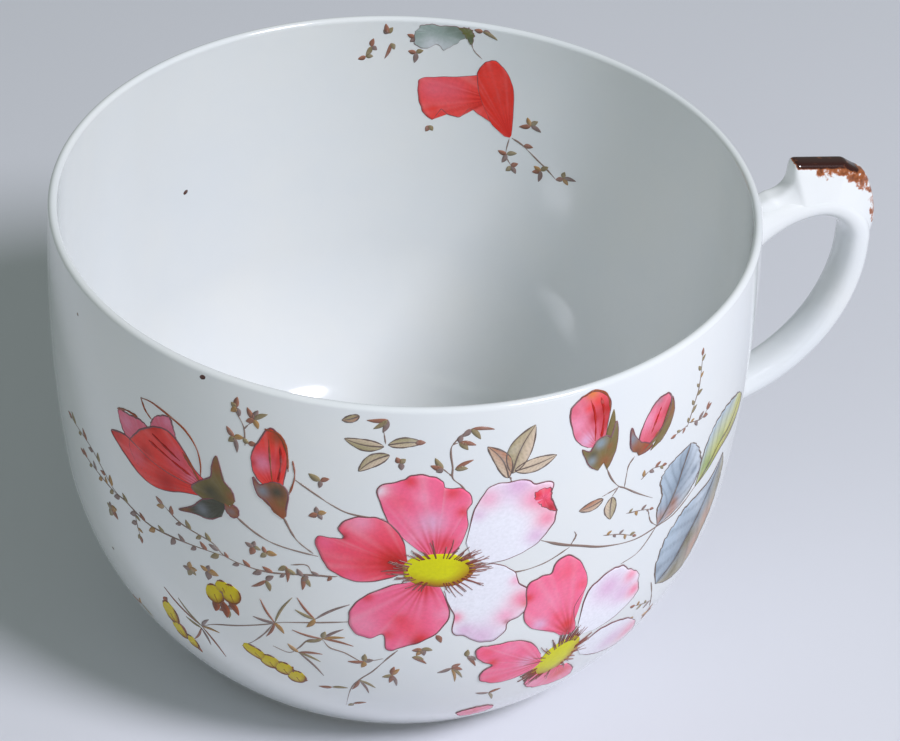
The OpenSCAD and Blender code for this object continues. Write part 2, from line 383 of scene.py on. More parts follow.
def loop_rings():
    """The whole strap from its lower end in the wall, over the corner, to its upper end.

    Both ends are cut to the curve of the wall, a little inside it."""
    over = np.linspace(0, np.pi / 2, 30)[:-1]
    rings = np.concatenate([
        lower_rings(np.linspace(LOWER_ROOT - np.radians(3), 0, 70)),
        bend_rings(CREST_CENTRE, CREST_BEND, over, np.zeros(len(over))),
        upper_rings(np.linspace(ROOT_CENTRE[0], ROOT_WALL - ROOT_SUNK, 50)),
    ])
    depth = wall_radius(rings[..., 2]) - np.hypot(rings[..., 0], rings[..., 1])
    return np.where((depth > END_DEPTH)[..., None], to_wall(rings, END_DEPTH), rings)


rings = loop_rings()
loop = make_piece(
    "handle_strap",
    *closed_skin(rings, rings[0].mean(axis=0), rings[-1].mean(axis=0)),
    GLAZED,
    "porcelain",
)
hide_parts("handle_loop")


# Slip joints: the wet clay that luted the handle's two ends to the wall, wiped with a finger
# into a small hollow fillet all round each end and glazed over with the rest.
FILLET_UP_STRAP = 1.7
FILLET_ON_WALL = 1.5
FILLET_EDGE_SUNK = 0.02
FILLET_UNDER_SUNK = 0.6


def slip_fillet(skin):
    """Closed ring of slip round one end of the strap, from many rings of it out of the wall.

    For each line along the strap's skin, the place where it meets the wall is found among the
    rings; a curve with its corner there runs from the strap to the wall, and the section is
    closed inside both."""
    clear = np.hypot(skin[..., 0], skin[..., 1]) - wall_radius(skin[..., 2])
    meet = np.argmax(clear > 0, axis=0)
    column = np.arange(skin.shape[1])
    corner = skin[meet, column]
    step = np.linalg.norm(skin[1:, 0] - skin[:-1, 0], axis=-1).mean()
    climb = np.clip(meet + int(FILLET_UP_STRAP / step), 0, len(skin) - 1)
    upper = skin[climb, column]
    middle = skin.mean(axis=1)[meet].mean(axis=0)
    away = corner - middle
    away /= np.linalg.norm(away, axis=-1, keepdims=True)
    edge = to_wall(corner + FILLET_ON_WALL * away, FILLET_EDGE_SUNK)
    t = np.linspace(0, 1, 14)[:, None, None]
    face = (1 - t) ** 2 * upper + 2 * t * (1 - t) * corner + t ** 2 * edge
    under = to_wall(corner + 0.5 * FILLET_ON_WALL * away, FILLET_UNDER_SUNK)
    inner = skin[meet, column] - 0.7 * away
    core = upper - 0.5 * away
    return np.concatenate([face, under[None], inner[None], core[None]])


upper_slip = slip_fillet(upper_rings(np.linspace(ROOT_WALL - ROOT_SUNK, ROOT_WALL + 7, 260)))
lower_slip = slip_fillet(lower_rings(LOWER_ROOT + np.radians(np.linspace(-5, 22, 260))))
for name, node_name, rings in (
    ("upper_slip", "upper_lute", upper_slip[::-1]),
    ("lower_slip", "lower_lute", lower_slip),
):
    slip = make_piece(name, *closed_ring(rings), GLAZED, "porcelain")
    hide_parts(node_name)


# Thumb rest: a small bevelled crest moulded on the loop's outer corner for the thumb.
# Its narrow flat top is painted dark brown, sponged off in red-brown dabs down the outer edge.
REST_BASE_HALF = 3.14
REST_SUNK_HALF = 3.02
REST_TOP_HALF = 1.35
REST_HOLLOW = 2.9
ENAMEL_DARK = (0.035, 0.007, 0.005, 1.0)
ENAMEL_RED = (0.42, 0.13, 0.045, 1.0)
REST_SHOULDER = np.array([
    [65.4, 48.0],
    [65.7, 49.4],
    [66.0, 51.4],
    [65.9, 53.0],
    [65.4, 55.4],
    [64.3, 58.1],
    [63.7, 59.1],
    [62.4, 59.8],
    [60.8, 60.9],
    [53.5, 61.9],
    [53.1, 61.5],
])
REST_SIDE = np.concatenate([
    REST_SHOULDER,
    arc((50.2, 59.8), REST_HOLLOW, 0, -np.pi / 2, 9),
    [[48.9, 56.2], [47.4, 54.6], [46.4, 53.2]],
])


def rest_outline(turn):
    """Distance of the rest's side outline from the corner's centre, at each angle round it.

    The outline is walked in small steps, read off by angle, and its corners rubbed round."""
    along = np.linspace(0, len(REST_SIDE) - 1, 2400)
    places = np.arange(len(REST_SIDE))
    x = np.interp(along, places, REST_SIDE[:, 0]) - CREST_CENTRE[0]
    z = np.interp(along, places, REST_SIDE[:, 1]) - CREST_CENTRE[1]
    rub = np.radians(np.linspace(-1.6, 1.6, 15))
    return np.interp(turn[..., None] + rub, np.arctan2(z, x), np.hypot(x, z)).mean(axis=-1)


def strap_middle(turn):
    """Distance of the strap's middle line from the corner's centre, at each angle round it."""
    lift = CREST_CENTRE[1] - ROOT_CENTRE[1]
    bend = -lift * np.sin(turn) + np.sqrt(ROOT_BEND ** 2 - (lift * np.cos(turn)) ** 2)
    return np.where(turn > np.pi / 2, bend, CREST_BEND)


def between(value, start, rise, end, fall):
    """One from a start to an end: rises evenly past the start and falls evenly up to the end."""
    return np.clip((value - start) / rise, 0, 1) * np.clip((end - value) / fall, 0, 1)


def rest_rings():
    """Rings across the rest at angles round the corner, and how heavily each place is painted.

    Over the top, height falls from the side outline on the flat to the strap's middle at both
    sides, with soft corners; the sides run into the strap, and underneath the ring closes inside
    it. Paint is solid on the flat, and thins out down the bevels and down the outer edge."""
    turn = np.linspace(np.radians(1.0), np.radians(149.0), 210)[:, None]
    wide = np.linspace(-REST_BASE_HALF, REST_BASE_HALF, 71)
    fall = (REST_BASE_HALF - np.abs(wide)) / (REST_BASE_HALF - REST_TOP_HALF)
    share = -np.log(np.exp(-8 * fall) + np.exp(-8.0)) / 8
    share = np.clip((share - share.min()) / (share.max() - share.min()), 0, 1)
    seat = strap_middle(turn) - 0.05
    tall = np.maximum(rest_outline(turn) - seat, 0.3)
    back = np.linspace(REST_BASE_HALF, -REST_BASE_HALF, 11)[1:-1]
    under = seat - 0.6 * (1 - (back / REST_BASE_HALF) ** 2)
    reach = np.concatenate([seat + tall * share, under], axis=1)
    y = np.concatenate([np.clip(wide, -REST_SUNK_HALF, REST_SUNK_HALF), back])
    x = CREST_CENTRE[0] + reach * np.cos(turn)
    z = CREST_CENTRE[1] + reach * np.sin(turn)
    rings = np.stack([x, np.broadcast_to(y, x.shape), z], axis=-1)
    degrees = np.degrees(turn)
    top = between(degrees, 56, 8, 107, 2)
    bevel = between(degrees, 36, 15, 105, 14)
    edge = between(degrees, 8, 12, 72, 8)
    flat = np.clip((share - 0.86) / 0.06, 0, 1)
    paint = np.maximum(top * flat, bevel * (0.10 + 0.52 * np.clip((share - 0.38) / 0.4, 0, 1)))
    paint = np.maximum(paint, edge * (0.26 + 0.34 * np.clip((share - 0.5) / 0.4, 0, 1)))
    paint = np.concatenate([paint, np.zeros((len(turn), len(back)))], axis=1)
    return rings, paint


def add_value(piece, name, values):
    """Stores one number for each vertex of a piece under a name."""
    kept = piece.data.attributes.new(name, "FLOAT", "POINT")
    kept.data.foreach_set("value", np.asarray(values, dtype=np.float32).ravel())


def sponged_brown():
    """Glazed porcelain with brown enamel sponged on where the paint value is high."""
    material, tree, shader = new_material("sponged_brown")
    link = tree.links.new
    marks = add_glaze(tree, PORCELAIN, PORCELAIN_WARM)
    place = node(tree, "ShaderNodeTexCoord")
    paint = node(tree, "ShaderNodeAttribute", attribute_name="paint")
    dabs = node(tree, "ShaderNodeTexNoise", in_Scale=900.0, in_Detail=3.0, in_Roughness=0.6)
    link(place.outputs["Object"], dabs.inputs["Vector"])
    holds = node(tree, "ShaderNodeMath", operation="ADD")
    link(paint.outputs["Fac"], holds.inputs[0])
    link(dabs.outputs["Fac"], holds.inputs[1])
    cover = node(tree, "ShaderNodeMapRange", in_From_Min=0.98, in_From_Max=1.08)
    link(holds.outputs[0], cover.inputs["Value"])
    tone = node(tree, "ShaderNodeMapRange", in_From_Min=1.05, in_From_Max=1.40)
    link(holds.outputs[0], tone.inputs["Value"])
    brown = ramp(tree, (0.0, ENAMEL_RED), (1.0, ENAMEL_DARK))
    link(tone.outputs["Result"], brown.inputs["Fac"])
    coat = node(tree, "ShaderNodeMix", data_type="RGBA")
    link(cover.outputs["Result"], coat.inputs["Factor"])
    link(marks.outputs["Color"], coat.inputs["A"])
    link(brown.outputs["Color"], coat.inputs["B"])
    link(coat.outputs["Result"], shader.inputs["Base Color"])
    link(marks.outputs["Roughness"], shader.inputs["Roughness"])
    bump = node(tree, "ShaderNodeBump", in_Strength=0.3, in_Distance=0.0001)
    link(cover.outputs["Result"], bump.inputs["Height"])
    link(bump.outputs["Normal"], shader.inputs["Normal"])
    shader.inputs["Coat Weight"].default_value = 0.2
    shader.inputs["Coat Roughness"].default_value = 0.2
    return material


rings, paint = rest_rings()
rest = make_piece(
    "thumb_crest",
    *closed_skin(rings, rings[0].mean(axis=0), rings[-1].mean(axis=0)),
    sponged_brown(),
    "brown_enamel",
)
add_value(rest, "paint", np.concatenate([paint.ravel(), [0, 0]]))
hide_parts("thumb_rest")


# Dog roses: two open flowers on the front of the cup, printed in thin brown line and filled
# in by hand with pink, red and white enamels, fired on to the glaze. Lifts are off the wall.
SHEET_RADIUS = 45.5
FRONT = np.radians(-108.0)
SHEET_DROP = 0.8
SHEET_TURN = 0.0102
LIP_LEAN = np.arcsin((RIM_Z - WALL_CENTRE[1]) / WALL_ARC)
FILM_UNDER = -0.04
PETAL_LIFT = 0.045
PETAL_STEP = 0.006
LINE_STEP = 0.003
STAMEN_LIFT = 0.125
STAMEN_INSET = 0.2
CENTRE_RISE = 0.18


def ink(red, green, blue):
    """Linear colour from red, green and blue as read off a colour chart, 0 to 255."""
    value = np.array([red, green, blue]) / 255
    return ((value + 0.055) / 1.055) ** 2.4


PETAL_WHITE = ink(242, 241, 250)
PETAL_LILAC = ink(228, 184, 218)
PETAL_BLUSH = ink(250, 166, 198)
PETAL_PINK = ink(251, 110, 150)
PETAL_ROSE = ink(249, 84, 112)
PETAL_RED = ink(228, 46, 44)
PETAL_DEEP = ink(160, 24, 12)
BROWN_LINE = ink(126, 80, 84)
STAMEN_RED = ink(136, 52, 30)
STAMEN_GREY = ink(152, 118, 114)
YELLOW = ink(218, 214, 0)
OCHRE = ink(168, 108, 8)


def lean_at(down):
    """Angle of the wall's outward slope at an arc length below the lip: wide arc, then lower curve."""
    knee_at = WALL_ARC * (LIP_LEAN + KNEE_ANGLE)
    return np.where(down < knee_at, LIP_LEAN - down / WALL_ARC, -KNEE_ANGLE - (down - knee_at) / KNEE_ARC)


def on_wall(t, rise):
    """Radius and height at t along the wall up from the lip, a rise off the outer wall."""
    lean = lean_at(-t)
    low = lean < -KNEE_ANGLE
    bend = np.where(low, KNEE_ARC, WALL_ARC) + rise
    radius = np.where(low, KNEE_CENTRE[0], WALL_CENTRE[0]) + bend * np.cos(lean)
    height = np.where(low, KNEE_CENTRE[1], WALL_CENTRE[1]) + bend * np.sin(lean)
    return radius, height


def outside(s, t, lift):
    """Places on the outside: s millimetres to the right of the front, t along the wall from the lip.

    The printed sheet was laid on a little low and turned by half a degree."""
    radius, height = on_wall(t - SHEET_DROP - SHEET_TURN * s, lift)
    turn = FRONT + (s + SHEET_TURN * t) / SHEET_RADIUS
    return np.stack([radius * np.cos(turn), radius * np.sin(turn), height], axis=-1)


def flow(points, count):
    """Smooth path through given points: cubic pieces, each slope set by the two neighbours."""
    points = np.asarray(points, dtype=float)
    first = 2 * points[:1] - points[1:2]
    last = 2 * points[-1:] - points[-2:-1]
    kept = np.concatenate([first, points, last])
    along = np.linspace(0, len(points) - 1, count)
    piece = np.minimum(along.astype(int), len(points) - 2)
    f = (along - piece)[:, None]
    a, b, c, d = kept[piece], kept[piece + 1], kept[piece + 2], kept[piece + 3]
    square = 2 * a - 5 * b + 4 * c - d
    cube = 3 * b - a - 3 * c + d
    return 0.5 * (2 * b + (c - a) * f + square * f ** 2 + cube * f ** 3)


def fan(base, edge, count, rag):
    """Petal as a fan of rays from its base to a smooth edge through given points.

    The edge is roughened by small waves. Returns sheet places (out along the rays, across them)
    and the edge itself."""
    path = flow(edge, count)
    step = np.linspace(0, 1, count)[:, None]
    waves = np.sin(61 * step + base[0]) + 0.7 * np.sin(113 * step + 3 * base[1])
    away = path - np.asarray(base)
    path = path + rag * waves * away / (np.linalg.norm(away, axis=-1, keepdims=True) + 1e-9)
    out = np.linspace(0.01, 1, 26)[:, None, None]
    grid = base + (path - base) * out
    return grid[..., 0], grid[..., 1], path


def dab_over(colour, s, t, dabs):
    """Colour over a patch with soft round dabs laid over it in turn."""
    for x, y, wide, tone, strength in dabs:
        cover = strength * np.exp(-((s - x) ** 2 + (t - y) ** 2) / wide ** 2)
        colour = colour + (tone - colour) * cover[..., None]
    return colour


def dabbed(s, t, ground, dabs, streak):
    """Colour over a petal: a ground tone, paler brush streaks that follow the rays, soft dabs, and
    on a pink ground fine red streaks out of its base."""
    colour = np.broadcast_to(ground, s.shape + (3,))
    ray = np.linspace(0, 1, s.shape[1])[None, :]
    out = np.linspace(0, 1, s.shape[0])[:, None]
    pale = streak * out * (0.5 + 0.5 * np.sin(37 * ray + s[-1, 0])) * (0.6 + 0.4 * np.sin(83 * ray))
    colour = colour + (PETAL_WHITE - colour) * np.clip(pale, 0, 1)[..., None]
    colour = dab_over(colour, s, t, dabs)
    vein = (ground[0] - ground[1]) * np.exp(-(out / 0.36) ** 2) * (0.5 + 0.5 * np.sin(71 * ray))
    return colour + (PETAL_RED * 0.8 - colour) * np.clip(vein, 0, 1)[..., None]


def stroke(path, width, lift, colour):
    """Film of one pen or brush stroke: a path widened to both sides, crowned along its middle."""
    count = len(path)
    along = np.gradient(path, axis=0)
    along = along / (np.linalg.norm(along, axis=-1, keepdims=True) + 1e-9)
    left = np.stack([-along[:, 1], along[:, 0]], axis=-1)
    wide = np.broadcast_to(width, (count,))[:, None] * np.array([-0.5, 0.0, 0.5])
    grid = path[:, None, :] + left[:, None, :] * wide[..., None]
    rise = np.broadcast_to(lift + np.array([0.0, 0.004, 0.0]), (count, 3))
    return grid[..., 0], grid[..., 1], rise, np.broadcast_to(colour, (count, 3, 3))


def pressed(count, most, seed):
    """Widths along a stroke: thin at both ends, swelling and thinning as a pen does."""
    x = np.linspace(0, 1, count)
    swell = 0.75 + 0.25 * np.sin(9 * x + seed) + 0.15 * np.sin(23 * x + 2 * seed)
    return most * swell * np.clip(np.minimum(x, 1 - x) * 12, 0.35, 1)


def make_print(name, films, material, place):
    """One piece from many films on the wall.

    Each film is a grid of sheet places with a lift and a colour; one that runs clockwise is turned
    over. Its top lies on the glaze, its underside is sunk in it, and its edge is closed all round.
    Colours are kept as an attribute."""
    vertices, quads, colours, total = [], [], [], 0
    for s, t, lift, colour in films:
        rows, columns = s.shape
        size = rows * columns
        lift = np.broadcast_to(lift, s.shape)
        colour = np.broadcast_to(colour, s.shape + (3,))
        out_s, out_t = np.diff(s, axis=0)[:, 1:], np.diff(t, axis=0)[:, 1:]
        side_s, side_t = np.diff(s, axis=1)[1:], np.diff(t, axis=1)[1:]
        if (out_s * side_t - out_t * side_s).sum() < 0:
            s, t, lift, colour = s[:, ::-1], t[:, ::-1], lift[:, ::-1], colour[:, ::-1]
        vertices += [place(s, t, lift).reshape(-1, 3), place(s, t, FILM_UNDER).reshape(-1, 3)]
        index = np.arange(size).reshape(rows, columns)
        top = np.stack([index[:-1, :-1], index[1:, :-1], index[1:, 1:], index[:-1, 1:]], axis=-1)
        top = top.reshape(-1, 4)
        loop_edge = np.concatenate([index[:, 0], index[-1, 1:], index[-2::-1, -1], index[0, -2:0:-1]])
        after = np.roll(loop_edge, -1)
        side = np.stack([after, loop_edge, loop_edge + size, after + size], axis=-1)
        quads.append(np.concatenate([top, top[:, ::-1] + size, side]) + total)
        colours += [colour.reshape(-1, 3), colour.reshape(-1, 3)]
        total += 2 * size
    none = np.zeros((0, 3), dtype=int)
    piece = make_piece(name, np.concatenate(vertices), np.concatenate(quads), none, material, "print")
    shade = np.ones((total, 4), dtype=np.float32)
    shade[:, :3] = np.concatenate(colours)
    wash = piece.data.attributes.new("wash", "FLOAT_COLOR", "POINT")
    wash.data.foreach_set("color", shade.ravel())
    return piece


def brush_group():
    """Node group: pigment that pools and thins, and a fine stipple, over any colour."""
    tree = bpy.data.node_groups.new("brushed_pigment", "ShaderNodeTree")
    tree.interface.new_socket("Color", in_out="INPUT", socket_type="NodeSocketColor")
    tree.interface.new_socket("Thin", in_out="INPUT", socket_type="NodeSocketFloat")
    tree.interface.new_socket("Color", in_out="OUTPUT", socket_type="NodeSocketColor")
    tree.interface.new_socket("Height", in_out="OUTPUT", socket_type="NodeSocketFloat")
    link = tree.links.new
    given = node(tree, "NodeGroupInput")
    out = node(tree, "NodeGroupOutput")
    place = node(tree, "ShaderNodeTexCoord")
    pool = node(tree, "ShaderNodeTexNoise", in_Scale=420.0, in_Detail=5.0, in_Roughness=0.65)
    link(place.outputs["Object"], pool.inputs["Vector"])
    worn = ramp(tree, (0.52, (0, 0, 0, 1)), (0.78, (1, 1, 1, 1)))
    link(pool.outputs["Fac"], worn.inputs["Fac"])
    bare = node(tree, "ShaderNodeMath", operation="MULTIPLY")
    link(worn.outputs["Color"], bare.inputs[0])
    link(given.outputs["Thin"], bare.inputs[1])
    show = node(tree, "ShaderNodeMix", data_type="RGBA")
    show.inputs["B"].default_value = PORCELAIN
    link(bare.outputs[0], show.inputs["Factor"])
    link(given.outputs["Color"], show.inputs["A"])
    dots = node(tree, "ShaderNodeTexNoise", in_Scale=2400.0, in_Detail=2.0)
    link(place.outputs["Object"], dots.inputs["Vector"])
    grain = node(tree, "ShaderNodeMapRange", in_From_Min=0.3, in_From_Max=0.7)
    grain.inputs["To Min"].default_value = 0.95
    grain.inputs["To Max"].default_value = 1.04
    link(dots.outputs["Fac"], grain.inputs["Value"])
    tone = node(tree, "ShaderNodeVectorMath", operation="SCALE")
    link(show.outputs["Result"], tone.inputs[0])
    link(grain.outputs["Result"], tone.inputs["Scale"])
    link(tone.outputs["Vector"], out.inputs["Color"])
    link(pool.outputs["Fac"], out.inputs["Height"])
    return tree


BRUSHED = brush_group()


def enamel(name, thin, roughness):
    """Fired enamel colour from a piece's wash attribute, thinned in places so the white shows."""
    material, tree, shader = new_material(name)
    wash = node(tree, "ShaderNodeAttribute", attribute_name="wash")
    brushed = node(tree, "ShaderNodeGroup", node_tree=BRUSHED)
    brushed.inputs["Thin"].default_value = thin
    tree.links.new(wash.outputs["Color"], brushed.inputs["Color"])
    tree.links.new(brushed.outputs["Color"], shader.inputs["Base Color"])
    bump = node(tree, "ShaderNodeBump", in_Strength=0.02, in_Distance=0.0001)
    tree.links.new(brushed.outputs["Height"], bump.inputs["Height"])
    tree.links.new(bump.outputs["Normal"], shader.inputs["Normal"])
    shader.inputs["Roughness"].default_value = roughness
    shader.inputs["Specular IOR Level"].default_value = 0.25
    return material


PETAL_ENAMEL = enamel("petal_enamel", thin=0.03, roughness=0.20)
LINE_INK = enamel("brown_line_ink", thin=0.20, roughness=0.22)
YELLOW_ENAMEL = enamel("yellow_enamel", thin=0.01, roughness=0.25)


def paint_petal(
    base, edge, ground, dabs, films, lines, streak=0.16, rag=0.07, width=0.17, count=110, low=PETAL_LIFT
):
    """Fills one petal, each a hair above the one before, and draws a thin brown line round it."""
    lift = low + PETAL_STEP * len(films)
    s, t, path = fan(np.asarray(base), edge, count, rag)
    films.append((s, t, np.full(s.shape, lift), dabbed(s, t, ground, dabs, streak)))
    lines.append(stroke(path, pressed(len(path), width, 3.1 * path[0, 0]), lift + LINE_STEP, BROWN_LINE))


def oval_dome(middle, long, short, tilt, rise, seed, light=YELLOW, dark=OCHRE):
    """Thick dab: a square net drawn round into an oval, domed, darker towards its lower right."""
    u = np.linspace(-1, 1, 19)[:, None]
    v = np.linspace(-1, 1, 19)[None, :]
    across, along = u * np.sqrt(1 - v ** 2 / 2), v * np.sqrt(1 - u ** 2 / 2)
    out, turn = np.hypot(across, along), np.arctan2(along, across)
    ragged = 1 + 0.025 * np.sin(5 * turn + seed) + 0.015 * np.sin(11 * turn)
    x = long * ragged * across
    y = short * ragged * along
    s = middle[0] + x * np.cos(tilt) - y * np.sin(tilt)
    t = middle[1] + x * np.sin(tilt) + y * np.cos(tilt)
    low = np.clip((out - 0.40) / 0.5, 0, 1) * np.clip(0.40 - 0.85 * np.sin(turn + tilt - 0.5), 0, 1)
    colour = light + (dark - light) * low[..., None]
    return s, t, rise * (1 - 0.6 * out ** 2), colour


def on_oval(middle, long, short, tilt, turn):
    """Places on a tilted oval, at angles round it."""
    x, y = long * np.cos(turn), short * np.sin(turn)
    s = middle[0] + x * np.cos(tilt) - y * np.sin(tilt)
    t = middle[1] + x * np.sin(tilt) + y * np.cos(tilt)
    return np.stack([s, t], axis=-1)


def stamens(middle, long, short, tilt, count, reach):
    """Short strokes round an oval centre, thick and red at the root, running out thin and grey."""
    films = []
    for turn, far in zip(rng.uniform(0, 2 * np.pi, count), rng.uniform(0.35, 1.0, count)):
        root = on_oval(middle, long, short, tilt, turn)
        aim = root - np.array(middle)
        aim = aim / np.linalg.norm(aim)
        bend = np.array([-aim[1], aim[0]]) * rng.uniform(-0.5, 0.5)
        half_way = root + 0.5 * reach * far * aim + 0.3 * bend
        path = flow([root - 0.5 * aim, half_way, root + reach * far * aim + bend], 7)
        fade = np.linspace(0, 1, 7)[:, None, None]
        colour = STAMEN_RED * (1 - fade) + STAMEN_GREY * fade
        films.append(stroke(path, np.linspace(0.15, 0.05, 7), STAMEN_LIFT, colour))
    return films


